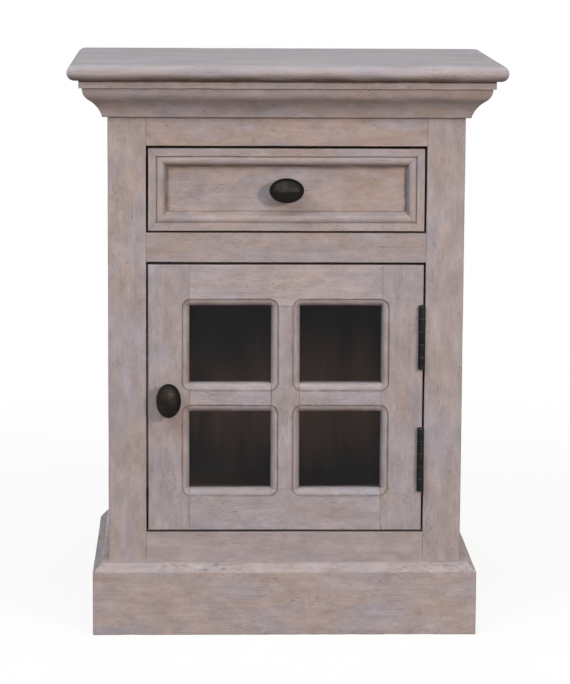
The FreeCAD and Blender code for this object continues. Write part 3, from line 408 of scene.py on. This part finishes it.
def limed_mango(name, grain):
    """Mango wood, planed and washed with thin lime: a pinkish grey skin, clouded mauve where it
    lies thick and warm where the wood shows, mottled, with dark pores, pits and stained edges, and on some
    boards painted shade in hollows and under overhangs."""
    wood = bpy.context.scene.nightstand_wood
    warmth, tone = BOARD_LOOK.get(name, PLAIN_LOOK)
    stroke, depth = WIDE_STROKE if name in WIDE_BOARDS else SHORT_STROKE
    material, tree = new_material("limed_mango_" + name)
    straight = grain_place(tree, grain, name)
    sway = patches(tree, straight, 130, 60, 1, 0.5, "Color")
    sway = add(tree, "VectorMath", {"operation": "MULTIPLY_ADD"}, {0: sway, 1: (0, 9, 9), 2: straight})
    cloud_mm = wood.cloud_size / MM
    mottle_mm = wood.mottle_size / MM
    streak_mm = wood.streak_width / MM
    pore_mm = wood.pore_width / MM
    cloud = patches(tree, straight, 2.4 * cloud_mm, cloud_mm, 3, 0.6)
    bare = patches(tree, sway, 1.8 * cloud_mm, cloud_mm / 3, 4, 0.65)
    mottle = patches(tree, straight, stroke * mottle_mm, mottle_mm, 5, 0.72)
    streak = patches(tree, sway, 32 * streak_mm, streak_mm, 4, 0.6)
    scratch = patches(tree, sway, 60 * pore_mm, 1.2 * pore_mm, 1, 0.5)
    dash = patches(tree, sway, 6 * pore_mm, pore_mm, 2, 0.5)
    crowd = patches(tree, straight, 70, 24, 2, 0.6)
    pit = patches(tree, straight, 5, 3.2, 1, 0.5)

    base = Vector(wood.lime).lerp(Vector(wood.warm), 0.6 * warmth)
    washed = add(tree, "MapRange", SMOOTH,
                 {"Value": cloud, "From Min": 0.4, "From Max": 0.66, "To Max": 0.75})
    shade = add(tree, "Mix", COLOURS, {0: washed, 6: rgba(base), 7: rgba(wood.cool)}, 2)
    worn = add(tree, "MapRange", SMOOTH,
               {"Value": bare, "From Min": 0.4, "From Max": 0.75, "To Max": 0.25 + 0.5 * warmth})
    shade = add(tree, "Mix", COLOURS, {0: worn, 6: shade, 7: rgba(wood.warm)}, 2)
    tone = add(tree, "MapRange", {}, {"Value": mottle, "From Min": 0.3, "From Max": 0.7,
                                      "To Min": (1 - 0.2 * depth) * tone,
                                      "To Max": (1 + 0.16 * depth) * tone})
    fine = add(tree, "MapRange", {}, {"Value": streak, "From Min": 0.3, "From Max": 0.7,
                                      "To Min": 0.95, "To Max": 1.05})
    tone = add(tree, "Math", {"operation": "MULTIPLY"}, {0: tone, 1: fine})
    wide = add(tree, "MapRange", {}, {"Value": bare, "From Min": 0.3, "From Max": 0.7,
                                      "To Min": 1.06, "To Max": 0.95})
    tone = add(tree, "Math", {"operation": "MULTIPLY"}, {0: tone, 1: wide})
    shade = add(tree, "VectorMath", {"operation": "SCALE"}, {0: shade, "Scale": tone})

    thick = add(tree, "MapRange", SMOOTH,
                {"Value": crowd, "From Min": 0.44, "From Max": 0.68})
    pores = add(tree, "MapRange", SMOOTH,
                {"Value": dash, "From Min": 0.52, "From Max": 0.7, "To Max": 0.42})
    pores = add(tree, "Math", {"operation": "MULTIPLY"}, {0: pores, 1: thick})
    pits = add(tree, "MapRange", SMOOTH,
               {"Value": pit, "From Min": 0.73, "From Max": 0.82, "To Max": 0.5})
    lines = add(tree, "MapRange", SMOOTH,
                {"Value": scratch, "From Min": 0.65, "From Max": 0.8, "To Max": 0.35})
    marks = add(tree, "Math", {"operation": "MAXIMUM"}, {0: pores, 1: pits})
    marks = add(tree, "Math", {"operation": "MAXIMUM"}, {0: marks, 1: lines})
    shade = add(tree, "Mix", COLOURS, {0: marks, 6: shade, 7: rgba(wood.pore)}, 2)

    soft = add(tree, "Bevel", {"samples": 6}, {"Radius": wood.edge_width})
    true = add(tree, "NewGeometry", {}, {}, "Normal")
    turn = add(tree, "VectorMath", {"operation": "DOT_PRODUCT"}, {0: soft, 1: true}, "Value")
    edge = add(tree, "MapRange", {}, {"Value": turn, "From Min": 0.995, "From Max": 0.8,
                                      "To Max": wood.edge_stain})
    # Painted shade, with stain where the board's mask holds both, in the stain colour on top of the stained
    # edges
    if name in STAIN_AND_SHADE:
        edge = add(tree, "Math", {"operation": "MAXIMUM"}, {0: edge, 1: STAIN_AND_SHADE[name](tree)})
    patchy = add(tree, "MapRange", {}, {"Value": mottle, "From Min": 0.35, "From Max": 0.65,
                                        "To Min": 1.25, "To Max": 0.55})
    edge = add(tree, "Math", {"operation": "MULTIPLY"}, {0: edge, 1: patchy})
    shade = add(tree, "Mix", COLOURS, {0: edge, 6: shade, 7: rgba(wood.stain)}, 2)

    gloss = add(tree, "MapRange", {}, {"Value": mottle, "From Min": 0.3, "From Max": 0.7,
                                       "To Min": 0.7, "To Max": 0.58})
    height = add(tree, "Math", {"operation": "MULTIPLY_ADD"}, {0: marks, 1: -1.2, 2: streak})
    height = add(tree, "Math", {"operation": "MULTIPLY_ADD"}, {0: mottle, 1: 0.3, 2: height})
    normal = add(tree, "Bump", {}, {"Strength": 0.4, "Distance": 0.35 * MM, "Height": height,
                                    "Normal": soft})
    finish_material(tree, {"Base Color": shade, "Roughness": gloss, "Normal": normal,
                           "Specular IOR Level": 0.4})
    return material


def faded_middle(tree):
    """Painted light: 1 on the inner face of the back board where the light through the panes would fall, with
    an uneven border that follows the upright grain."""
    place = part_place(tree)
    apart = add(tree, "VectorMath", {"operation": "SUBTRACT"}, {0: place, 1: LIGHT_PATCH_SPOT})
    apart = add(tree, "VectorMath", {"operation": "MULTIPLY"}, {0: apart, 1: LIGHT_PATCH_REACH})
    away = add(tree, "VectorMath", {"operation": "LENGTH"}, {0: apart}, "Value")
    facing = add(tree, "TexCoord", {}, {}, "Normal")
    inner = add(tree, "VectorMath", {"operation": "DOT_PRODUCT"}, {0: facing, 1: (0, -1, 0)}, "Value")
    uneven = patches(tree, place, 22, 90, 4, 0.6)
    away = add(tree, "Math", {"operation": "ADD"}, {0: away, 1: uneven})
    return add(tree, "MapRange", SMOOTH,
               {"Value": away, "From Min": 0.6, "From Max": 1.5, "To Min": inner, "To Max": 0})


def sawn_wood(name, grain, tint, depth, light_patch=None):
    """Plain boards, sawn and stained or left bare: long streaks, open pores and a dull face, and a painted
    patch of light where a mask is given.
    """
    wood = bpy.context.scene.nightstand_wood
    material, tree = new_material(name)
    place = grain_place(tree, grain, name)
    streak_mm = wood.streak_width / MM
    streak = patches(tree, place, 50 * streak_mm, 1.4 * streak_mm, 4, 0.6)
    cloud = patches(tree, place, 160, 40, 2, 0.5)
    dash = patches(tree, place, 5, 0.8, 2, 0.5)
    tone = add(tree, "MapRange", {}, {"Value": streak, "From Min": 0.3, "From Max": 0.7,
                                      "To Min": 1 - depth, "To Max": 1 + depth})
    wide = add(tree, "MapRange", {}, {"Value": cloud, "From Min": 0.3, "From Max": 0.7,
                                      "To Min": 0.85, "To Max": 1.12})
    tone = add(tree, "Math", {"operation": "MULTIPLY"}, {0: tone, 1: wide})
    shade = tint
    # A painted patch of light, in its own brown, where the mask gives it
    if light_patch:
        shade = add(tree, "Mix", COLOURS, {0: light_patch(tree), 6: rgba(tint), 7: rgba(wood.faded)}, 2)
    shade = add(tree, "VectorMath", {"operation": "SCALE"}, {0: shade, "Scale": tone})
    pores = add(tree, "MapRange", SMOOTH,
                {"Value": dash, "From Min": 0.6, "From Max": 0.75, "To Max": 0.5})
    dark = rgba(tuple(part / 3 for part in tint))
    shade = add(tree, "Mix", COLOURS, {0: pores, 6: shade, 7: dark}, 2)
    height = add(tree, "Math", {"operation": "SUBTRACT"}, {0: streak, 1: pores})
    normal = add(tree, "Bump", {}, {"Strength": 0.4, "Distance": 0.3 * MM, "Height": height})
    finish_material(tree, {"Base Color": shade, "Roughness": 0.7, "Normal": normal,
                           "Specular IOR Level": 0.3})
    return material


def pane_glass():
    """Float glass, 3 mm: clear with a faint grey, hardly any waviness and a weak reflection."""
    material, tree = new_material("float_glass_clear")
    place = part_place(tree)
    wave = patches(tree, place, 60, 60, 1, 0.5)
    smear = patches(tree, place, 25, 25, 4, 0.5)
    rough = add(tree, "MapRange", {}, {"Value": smear, "From Min": 0.35, "From Max": 0.75,
                                       "To Min": 0, "To Max": 0.06})
    normal = add(tree, "Bump", {}, {"Strength": 0.1, "Distance": 0.1 * MM, "Height": wave})
    tint = bpy.context.scene.nightstand_fittings.glass
    finish_material(tree, {"Base Color": rgba(tint), "Roughness": rough, "Normal": normal,
                           "Transmission Weight": 1, "IOR": 1.26, "Specular Tint": (0.82, 0.92, 1, 1),
                           "Alpha": 0.5})
    return material


def antique_bronze():
    """Cast knobs with a dark oiled bronze skin: nearly black, brown where rubbed, soft highlights."""
    fittings = bpy.context.scene.nightstand_fittings
    material, tree = new_material("cast_bronze_oil_rubbed")
    place = part_place(tree)
    patch = patches(tree, place, 9, 9, 3, 0.5)
    grit = patches(tree, place, 0.9, 0.9, 2, 0.5)
    rubbed = add(tree, "MapRange", SMOOTH,
                 {"Value": patch, "From Min": 0.42, "From Max": 0.72})
    shade = add(tree, "Mix", COLOURS,
                {0: rubbed, 6: rgba(fittings.bronze), 7: rgba(fittings.rubbed)}, 2)
    rough = add(tree, "MapRange", {}, {"Value": patch, "To Min": 0.56, "To Max": 0.4})
    normal = add(tree, "Bump", {}, {"Strength": 0.15, "Distance": 0.1 * MM, "Height": grit})
    finish_material(tree, {"Base Color": shade, "Metallic": 1, "Roughness": rough, "Normal": normal})
    return material


def metal(name, tint, low, high, grit_mm):
    """Pressed or turned steel: faint cloudiness in the gloss and a fine grit in the surface."""
    material, tree = new_material(name)
    place = part_place(tree)
    patch = patches(tree, place, 6, 6, 3, 0.5)
    grit = patches(tree, place, grit_mm, grit_mm, 2, 0.5)
    cloudy = add(tree, "MapRange", SMOOTH,
                 {"Value": patch, "From Min": 0.4, "From Max": 0.7})
    dull = rgba(tuple(part * 0.6 for part in tint))
    shade = add(tree, "Mix", COLOURS, {0: cloudy, 6: rgba(tint), 7: dull}, 2)
    # Lighter edges: bare steel rubbed through, together with a painted highlight along the rims and knuckles
    soft = add(tree, "Bevel", {"samples": 6}, {"Radius": 0.5 * MM})
    true = add(tree, "NewGeometry", {}, {}, "Normal")
    turn = add(tree, "VectorMath", {"operation": "DOT_PRODUCT"}, {0: soft, 1: true}, "Value")
    worn = add(tree, "MapRange", {}, {"Value": turn, "From Min": 0.99, "From Max": 0.8, "To Max": 0.6})
    bare = rgba(tuple(0.25 + part * 0.5 for part in tint))
    shade = add(tree, "Mix", COLOURS, {0: worn, 6: shade, 7: bare}, 2)
    rough = add(tree, "MapRange", {}, {"Value": patch, "To Min": low, "To Max": high})
    normal = add(tree, "Bump", {}, {"Strength": 0.2, "Distance": 0.1 * MM, "Height": grit, "Normal": soft})
    finish_material(tree, {"Base Color": shade, "Metallic": 1, "Roughness": rough, "Normal": normal})
    return material


def moulded(name, tint, rough, grain_mm):
    """Moulded or sintered pieces: an even colour with fine speckle and a pebbled skin."""
    material, tree = new_material(name)
    grit = patches(tree, part_place(tree), grain_mm, grain_mm, 3, 0.5)
    speckle = add(tree, "MapRange", SMOOTH,
                  {"Value": grit, "From Min": 0.35, "From Max": 0.7})
    pale = rgba(tuple(min(1, part * 1.35) for part in tint))
    shade = add(tree, "Mix", COLOURS, {0: speckle, 6: rgba(tint), 7: pale}, 2)
    normal = add(tree, "Bump", {}, {"Strength": 0.25, "Distance": 0.1 * MM, "Height": grit})
    finish_material(tree, {"Base Color": shade, "Roughness": rough, "Normal": normal})
    return material


def paint(material, *nodes):
    """Give CAD nodes a finished material."""
    for node in nodes:
        mesh = NODES[node].data
        mesh.materials.clear()
        mesh.materials.append(material)


def new_piece(name, shape, material):
    """Turn a bmesh into an object with one material, smooth but for its sharp edges."""
    mesh = bpy.data.meshes.new(name)
    shape.to_mesh(mesh)
    shape.free()
    # Normals stored with the CAD mesh no longer fit, and they would keep the edges from being sharp
    stored = mesh.attributes.get("custom_normal")
    if stored:
        mesh.attributes.remove(stored)
    mesh.materials.append(material)
    mesh.shade_smooth()
    mesh.set_sharp_from_angle(angle=SHARP_ANGLE)
    piece = bpy.data.objects.new(name, mesh)
    bpy.context.scene.collection.objects.link(piece)
    return piece


def worn_board(node, grain, material):
    """A board as the maker's hand left it: planed a little uneven, its arrises rubbed and nicked."""
    wood = bpy.context.scene.nightstand_wood
    low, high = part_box(node)
    shape = bmesh.new()
    shape.from_mesh(NODES[node].data)
    bmesh.ops.remove_doubles(shape, verts=shape.verts, dist=MERGE_DISTANCE)
    bmesh.ops.dissolve_limit(shape, angle_limit=FLAT_ANGLE, verts=shape.verts, edges=shape.edges)
    for axis in range(3):
        across = Vector([float(place == axis) for place in range(3)])
        size = high[axis] - low[axis]
        steps = round(size / wood.wear_step)
        places = [step * size / steps for step in range(1, steps)] if "XYZ"[axis] == grain else []
        for place in (wood.wear_reach, *places, size - wood.wear_reach):
            bmesh.ops.bisect_plane(shape, geom=[*shape.verts, *shape.edges, *shape.faces], dist=CUT_DISTANCE,
                                   plane_co=low + across * place, plane_no=across)
    way = "XYZ".index(grain)
    arris = {vertex for edge in shape.edges for vertex in edge.verts
             if edge.is_manifold and edge.is_convex and edge.calc_face_angle() > SHARP_ANGLE
             and abs(edge.verts[0].co[way] - edge.verts[1].co[way]) > ALONG_GRAIN * edge.calc_length()}
    bmesh.ops.triangulate(shape, faces=shape.faces)
    shape.normal_update()
    drift_spot = Vector((BODIES.index(BODY_OF[node]) * BODY_STEP, 0, 0))
    nick_spot = Vector([random.Random(node).uniform(-SPOT_RANGE, SPOT_RANGE)] * 3)
    for vertex in shape.verts:
        place = vertex.co / MM
        move = noise.noise_vector((place + drift_spot) / PLANING_WAVE) * wood.wear_drift
        if vertex in arris:
            nick = noise.noise((place + nick_spot) / NICK_LENGTH) - NICK_LEFT_OUT
            move -= vertex.normal * max(0, nick) * wood.wear_nick
        vertex.co = [min(max(a + b, c), d) for a, b, c, d in zip(vertex.co, move, low, high)]
    piece = new_piece("worn_" + node, shape, material)
    even = piece.modifiers.new("even_shading", "WEIGHTED_NORMAL")
    even.keep_sharp = True
    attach(piece, BODY_OF[node])
    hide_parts(node)


class NIGHTSTAND_OT_limed_boards(Operator):
    """Make every limed board with worn arrises and its own spot in the grain, and finish the beads"""
    bl_idname = "nightstand.limed_boards"
    bl_label = "Limed Boards"

    def execute(self, context):
        noise.seed_set(PLANING_SEED)
        for grain, group in (("X", GRAIN_X), ("Y", GRAIN_Y), ("Z", GRAIN_Z)):
            for node in group:
                worn_board(node, grain, limed_mango(node, grain))
        paint(limed_mango("glazing_beads", "Z"), "glazing_beads")
        return {"FINISHED"}


class NIGHTSTAND_OT_plain_boards(Operator):
    """Finish the inside boards, the drawer box and the back board"""
    bl_idname = "nightstand.plain_boards"
    bl_label = "Plain Boards"

    def execute(self, context):
        wood = context.scene.nightstand_wood
        paint(sawn_wood("mango_sawn_dark_stain_x", "X", wood.inside, 0.12),
              "rear_top_rail", "rear_bottom_rail", "cabinet_floor")
        paint(sawn_wood("mango_sawn_dark_stain_y", "Y", wood.inside, 0.12),
              "fixing_battens", "drawer_runners", "drawer_kickers", "drawer_stops")
        paint(sawn_wood("mango_sawn_bare_y", "Y", wood.drawer, 0.1), "drawer_left_side", "drawer_right_side")
        paint(sawn_wood("mango_sawn_bare_x", "X", wood.drawer, 0.1), "drawer_back", "drawer_bottom")
        # The back board gets a painted patch of light on its inner face
        paint(sawn_wood("plywood_dark_stain", "Z", wood.back, 0.14, faded_middle), "back_panel")
        return {"FINISHED"}


class NIGHTSTAND_OT_glass(Operator):
    """Finish the four panes"""
    bl_idname = "nightstand.glass"
    bl_label = "Glass Panes"

    def execute(self, context):
        paint(pane_glass(), "glass_panes")
        return {"FINISHED"}


def oval_knob(node, turn, material):
    """A cast knob: a blunt oval head, ridged along its length, on a turned stem and foot."""
    fittings = bpy.context.scene.nightstand_fittings
    low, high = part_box(node)
    size = high - low
    wide, long = sorted((size.x / 2, size.z / 2))
    flank = wide + fittings.knob_ridge
    ridge = math.sqrt(1 - (fittings.knob_ridge / flank) ** 2)
    deep = KNOB_DEPTH * MM / 2
    shape = bmesh.new()
    bmesh.ops.create_uvsphere(shape, u_segments=64, v_segments=40, radius=1)
    for vertex in shape.verts:
        x, y, z = vertex.co
        # The poles have no front of their own
        front = y / max(math.hypot(x, y), 1e-6)
        girth = max(0, 1 - abs(z) ** fittings.knob_blunt) ** (1 / fittings.knob_blunt)
        side = max(0, flank * math.sqrt(max(0, 1 - (front * ridge) ** 2)) - fittings.knob_ridge)
        vertex.co = (math.copysign(side, x) * girth, front * deep * girth, z * long)
    bmesh.ops.rotate(shape, verts=shape.verts, matrix=Matrix.Rotation(turn, 3, "Y"))
    bmesh.ops.translate(shape, verts=shape.verts, vec=(0, deep - size.y, 0))
    line = [shape.verts.new((radius * MM, -out * MM, 0)) for radius, out in KNOB_STEM]
    edges = [shape.edges.new(pair) for pair in zip(line, line[1:])]
    bmesh.ops.spin(shape, geom=[*line, *edges], axis=(0, 1, 0), angle=math.tau, steps=48, use_merge=True)
    bmesh.ops.remove_doubles(shape, verts=shape.verts, dist=MERGE_DISTANCE)
    bmesh.ops.recalc_face_normals(shape, faces=shape.faces)
    seat = ((low.x + high.x) / 2, high.y, (low.z + high.z) / 2)
    bmesh.ops.translate(shape, verts=shape.verts, vec=seat)
    piece = new_piece("oval_" + node, shape, material)
    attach(piece, BODY_OF[node])
    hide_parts(node)


class NIGHTSTAND_OT_knobs(Operator):
    """Make the upright knob of the door and the level knob of the drawer"""
    bl_idname = "nightstand.knobs"
    bl_label = "Knobs"

    def execute(self, context):
        bronze = antique_bronze()
        oval_knob("door_knob", 0, bronze)
        oval_knob("drawer_knob", math.pi / 2, bronze)
        return {"FINISHED"}


class NIGHTSTAND_OT_fittings(Operator):
    """Finish the hinges and catch"""
    bl_idname = "nightstand.fittings"
    bl_label = "Fittings"

    def execute(self, context):
        fittings = context.scene.nightstand_fittings
        paint(metal("steel_blackened", fittings.black, 0.45, 0.6, 0.5), "hinge_post_leaves",
              "hinge_door_leaves", "hinge_pins")
        paint(metal("steel_nickel_plated", fittings.steel, 0.3, 0.45, 0.4), "catch_plate")
        paint(moulded("abs_moulded_brown", fittings.catch, 0.5, 0.8), "catch_housing")
        paint(moulded("ferrite_sintered", fittings.magnet, 0.6, 0.5), "catch_magnet")
        return {"FINISHED"}


def slotted_screw(shape, seat, way, head, depth, shank, whole, tip, sunk):
    """Add a screw to a shape: its head's face at the seat, a slot across it, its shank along way."""
    fittings = bpy.context.scene.nightstand_fittings
    one = bmesh.new()
    bmesh.ops.create_cone(one, cap_ends=True, segments=32, radius1=shank if sunk else head, radius2=head,
                          depth=depth, matrix=Matrix.Translation((0, 0, -depth / 2)))
    if not sunk:
        rim = [edge for edge in one.edges if all(vertex.co.z > -depth / 4 for vertex in edge.verts)]
        bmesh.ops.bevel(one, geom=rim, offset=depth / 3, offset_type="OFFSET", segments=4, profile=0.5,
                        affect="EDGES", material=-1)
    cap = max(one.faces, key=lambda face: face.calc_center_median().z)
    geom = [cap, *cap.edges, *cap.verts]
    half = fittings.slot_width / 2
    end = SLOT_REACH * head
    for place, side in ((half, 1), (-half, 1), (end, 0), (-end, 0)):
        spot = Vector((0, 0, 0))
        spot[side] = place
        across = [float(axis == side) for axis in range(3)]
        geom = bmesh.ops.bisect_plane(one, geom=geom, dist=SLOT_CUT_DISTANCE, plane_co=spot,
                                      plane_no=across)["geom"]
    slot = min((item for item in geom if isinstance(item, bmesh.types.BMFace)),
               key=lambda face: face.calc_center_median().xy.length)
    pushed = bmesh.ops.extrude_face_region(one, geom=[slot])["geom"]
    bmesh.ops.delete(one, geom=[slot], context="FACES_ONLY")
    floor = [item for item in pushed if isinstance(item, bmesh.types.BMVert)]
    bmesh.ops.translate(one, verts=floor, vec=(0, 0, -min(fittings.slot_depth, SLOT_FLOOR * depth)))
    middle = whole - depth - tip
    bmesh.ops.create_cone(one, cap_ends=True, segments=24, radius1=shank, radius2=shank, depth=middle,
                          matrix=Matrix.Translation((0, 0, -depth - middle / 2)))
    bmesh.ops.create_cone(one, cap_ends=True, segments=24, radius1=TIP_END * shank, radius2=shank, depth=tip,
                          matrix=Matrix.Translation((0, 0, -whole + tip / 2)))
    turn = Matrix.Rotation(random.Random(str(seat)).uniform(0, math.pi), 4, "Z")
    aim = Vector(way).to_track_quat("-Z", "Y").to_matrix().to_4x4()
    bmesh.ops.transform(one, verts=one.verts, matrix=Matrix.Translation(seat) @ aim @ turn)
    spare = bpy.data.meshes.new("spare")
    one.to_mesh(spare)
    one.free()
    shape.from_mesh(spare)
    bpy.data.meshes.remove(spare)


def screw_set(node, material, rows):
    """One piece for a CAD node's screws: each row is a seat, a way and the sizes, in millimetres."""
    shape = bmesh.new()
    for seat, way, *sizes, sunk in rows:
        slotted_screw(shape, Vector(seat) * MM, way, *(size * MM for size in sizes), sunk)
    piece = new_piece("slotted_" + node, shape, material)
    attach(piece, BODY_OF[node])
    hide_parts(node)


class NIGHTSTAND_OT_screws(Operator):
    """Make the hinge, catch and knob screws with slotted heads"""
    bl_idname = "nightstand.screws"
    bl_label = "Screws"

    def execute(self, context):
        steel = metal("steel_zinc_plated", context.scene.nightstand_fittings.steel, 0.25, 0.42, 0.4)
        black = metal("steel_blackened_screws", context.scene.nightstand_fittings.black, 0.4, 0.55, 0.4)
        heights = [foot + HINGE_HEIGHT * part for foot in HINGE_FEET for part in HINGE_HOLES]
        post = [((POST_SEAT_X, HINGE_SEAT_Y, height), RIGHT, *HINGE_SCREW) for height in heights]
        leaf = [((LEAF_SEAT_X, HINGE_SEAT_Y, height), LEFT, *HINGE_SCREW) for height in heights]
        catch = [(seat, UP, *CATCH_SCREW) for seat in CATCH_SEATS]
        plate = [(seat, FRONT, *PLATE_SCREW) for seat in PLATE_SEATS]
        door_knob = (DOOR_KNOB_SEAT, FRONT, *DOOR_KNOB_SCREW)
        drawer_knob = (DRAWER_KNOB_SEAT, FRONT, *DRAWER_KNOB_SCREW)
        screw_set("carcass_screws", black, post + catch)
        screw_set("door_screws", black, leaf + plate)
        screw_set("door_knob_screw", steel, [door_knob])
        screw_set("drawer_knob_screw", steel, [drawer_knob])
        return {"FINISHED"}


def stage_plane(name, half):
    """A square at the foot of the object that belongs to the stage."""
    grid = bmesh.new()
    bmesh.ops.create_grid(grid, x_segments=1, y_segments=1, size=half)
    mesh = bpy.data.meshes.new(name)
    grid.to_mesh(mesh)
    grid.free()
    plane = bpy.data.objects.new(name, mesh)
    bpy.context.scene.collection.objects.link(plane)
    return plane


def seen_directly(tree):
    """1 for rays that show the background itself, in the picture, in metal or through glass."""
    path = add(tree, "LightPath", {}, {}).node.outputs
    glossy = add(tree, "Math", {"operation": "MAXIMUM"},
                 {0: path["Is Camera Ray"], 1: path["Is Glossy Ray"]})
    return add(tree, "Math", {"operation": "MAXIMUM"}, {0: glossy, 1: path["Is Transmission Ray"]})


def soft_world(stage):
    """White where it is seen, and a weak even light where it is not."""
    world = bpy.data.worlds.new("studio")
    bpy.context.scene.world = world
    world.use_nodes = True
    tree = world.node_tree
    tree.nodes.clear()
    soft = add(tree, "Background", {}, {"Color": (1, 1, 1, 1), "Strength": stage.soft_light})
    white = add(tree, "Background", {}, {"Color": (1, 1, 1, 1), "Strength": 1})
    both = add(tree, "MixShader", {}, {0: seen_directly(tree), 1: soft, 2: white})
    add(tree, "OutputWorld", {}, {"Surface": both})


def pale_floor(stage):
    """Matt painted floor: lifted to white where it is seen, keeping the shadow near the object and
    the dark under it."""
    material, tree = new_material("floor_matt_paint")
    place = add(tree, "TexCoord", {}, {}, "Object")
    away = add(tree, "VectorMath", {"operation": "LENGTH"}, {0: place}, "Value")
    far = add(tree, "MapRange", SMOOTH,
              {"Value": away, "From Min": WHITE_START, "From Max": WHITE_END})
    corner = add(tree, "VectorMath", {"operation": "ABSOLUTE"}, {0: place})
    corner = add(tree, "VectorMath", {"operation": "SUBTRACT"}, {0: corner, 1: UNDERSIDE})
    corner = add(tree, "VectorMath", {"operation": "MAXIMUM"}, {0: corner, 1: (0, 0, 0)})
    beside = add(tree, "VectorMath", {"operation": "LENGTH"}, {0: corner}, "Value")
    lift = add(tree, "MapRange", SMOOTH,
               {"Value": beside, "From Max": UNDERSIDE_EDGE, "To Max": stage.floor_lift})
    seen = seen_directly(tree)
    lift = add(tree, "Math", {"operation": "MULTIPLY"}, {0: seen, 1: lift})
    matt = add(tree, "BsdfDiffuse", {}, {"Color": rgba(stage.floor)})
    glow = add(tree, "Emission", {}, {"Color": (1, 1, 1, 1), "Strength": lift})
    near = add(tree, "AddShader", {}, {0: matt, 1: glow})
    white = add(tree, "Emission", {}, {"Color": (1, 1, 1, 1), "Strength": 1})
    both = add(tree, "Math", {"operation": "MULTIPLY"}, {0: seen, 1: far})
    add(tree, "OutputMaterial", {}, {"Surface": add(tree, "MixShader", {}, {0: both, 1: near, 2: white})})
    return material


def area_lamp(name, place, aim, size, power, tint):
    """A square lamp at a place, turned towards its aim: metres, watts and a linear tint."""
    lamp = bpy.data.lights.new(name, "AREA")
    lamp.size = size
    lamp.energy = power
    lamp.color = tint
    holder = bpy.data.objects.new(name, lamp)
    holder.location = place
    holder.rotation_euler = (Vector(aim) - Vector(place)).to_track_quat("-Z", "Y").to_euler()
    bpy.context.scene.collection.objects.link(holder)


def photo_camera(stage):
    """The photograph's viewpoint: a long lens a little to the left and above."""
    yaw, pitch, roll = (math.radians(angle) for angle in CAMERA_TURN)
    ahead = Vector((math.sin(yaw) * math.cos(pitch), math.cos(yaw) * math.cos(pitch), math.sin(pitch)))
    level = Vector((math.cos(yaw), -math.sin(yaw), 0))
    upward = level.cross(ahead)
    right = level * math.cos(roll) + upward * math.sin(roll)
    above = upward * math.cos(roll) - level * math.sin(roll)
    camera = bpy.data.cameras.new("camera")
    camera.lens = stage.focal
    camera.sensor_width = 36
    camera.clip_end = 200
    holder = bpy.data.objects.new("camera", camera)
    turn = Matrix((right, above, -ahead)).transposed()
    holder.matrix_world = Matrix.Translation(CAMERA_PLACE) @ turn.to_4x4()
    bpy.context.scene.collection.objects.link(holder)
    bpy.context.scene.camera = holder


class NIGHTSTAND_OT_stage(Operator):
    """Set the floor, the light and the camera"""
    bl_idname = "nightstand.stage"
    bl_label = "Stage"

    def execute(self, context):
        stage = context.scene.nightstand_stage
        context.scene.view_settings.view_transform = "Standard"
        floor = stage_plane("floor", FLOOR_HALF)
        floor.data.materials.append(pale_floor(stage))
        soft_world(stage)
        area_lamp("upper_lamp", (0, -1.1, 3.0), (0, -0.2, 0.4), 2.6, stage.top_power, (0.72, 0.91, 1))
        area_lamp("main_lamp", (1.9, -2.9, 1.4), (0, -0.1, 0.35), 0.5, stage.main_power, (1, 0.89, 0.79))
        area_lamp("second_lamp", (-1.7, -2.2, 2.2), (0, -0.1, 0.35), 1.2, stage.second_power,
                  (0.82, 0.92, 1))
        area_lamp("rear_lamp", (0, 2.8, 0.3), (0, 0.1, 0.3), 0.4, stage.rear_power, (1, 0.97, 0.94))
        area_lamp("front_lamp", (-0.2, -3.6, 0.7), (0, -0.1, 0.3), 2.0, stage.front_power, (1, 0.985, 0.97))
        photo_camera(stage)
        return {"FINISHED"}


STEPS = (NIGHTSTAND_OT_limed_boards, NIGHTSTAND_OT_plain_boards, NIGHTSTAND_OT_glass,
         NIGHTSTAND_OT_knobs, NIGHTSTAND_OT_fittings, NIGHTSTAND_OT_screws, NIGHTSTAND_OT_stage)


class NIGHTSTAND_PT_sidebar(Panel):
    """Lists the steps that dress the nightstand"""
    bl_idname = "NIGHTSTAND_PT_sidebar"
    bl_label = "Limed Nightstand"
    bl_space_type = "VIEW_3D"
    bl_region_type = "UI"
    bl_category = "Nightstand"

    def draw(self, context):
        for step in STEPS:
            self.layout.operator(step.bl_idname)
        for group in (context.scene.nightstand_wood, context.scene.nightstand_fittings,
                      context.scene.nightstand_stage):
            box = self.layout.box()
            for key in group.__annotations__:
                box.prop(group, key)


GROUPS = {"nightstand_wood": NightstandWood, "nightstand_fittings": NightstandFittings,
          "nightstand_stage": NightstandStage}
CLASSES = (*GROUPS.values(), *STEPS, NIGHTSTAND_PT_sidebar)


def register():
    for kind in CLASSES:
        bpy.utils.register_class(kind)
    for key, kind in GROUPS.items():
        setattr(bpy.types.Scene, key, PointerProperty(type=kind))


def unregister():
    for key in GROUPS:
        delattr(bpy.types.Scene, key)
    for kind in reversed(CLASSES):
        bpy.utils.unregister_class(kind)


def main():
    register()
    bpy.ops.nightstand.limed_boards()
    bpy.ops.nightstand.plain_boards()
    bpy.ops.nightstand.glass()
    bpy.ops.nightstand.knobs()
    bpy.ops.nightstand.fittings()
    bpy.ops.nightstand.screws()
    bpy.ops.nightstand.stage()


if __name__ == "__main__":
    main()
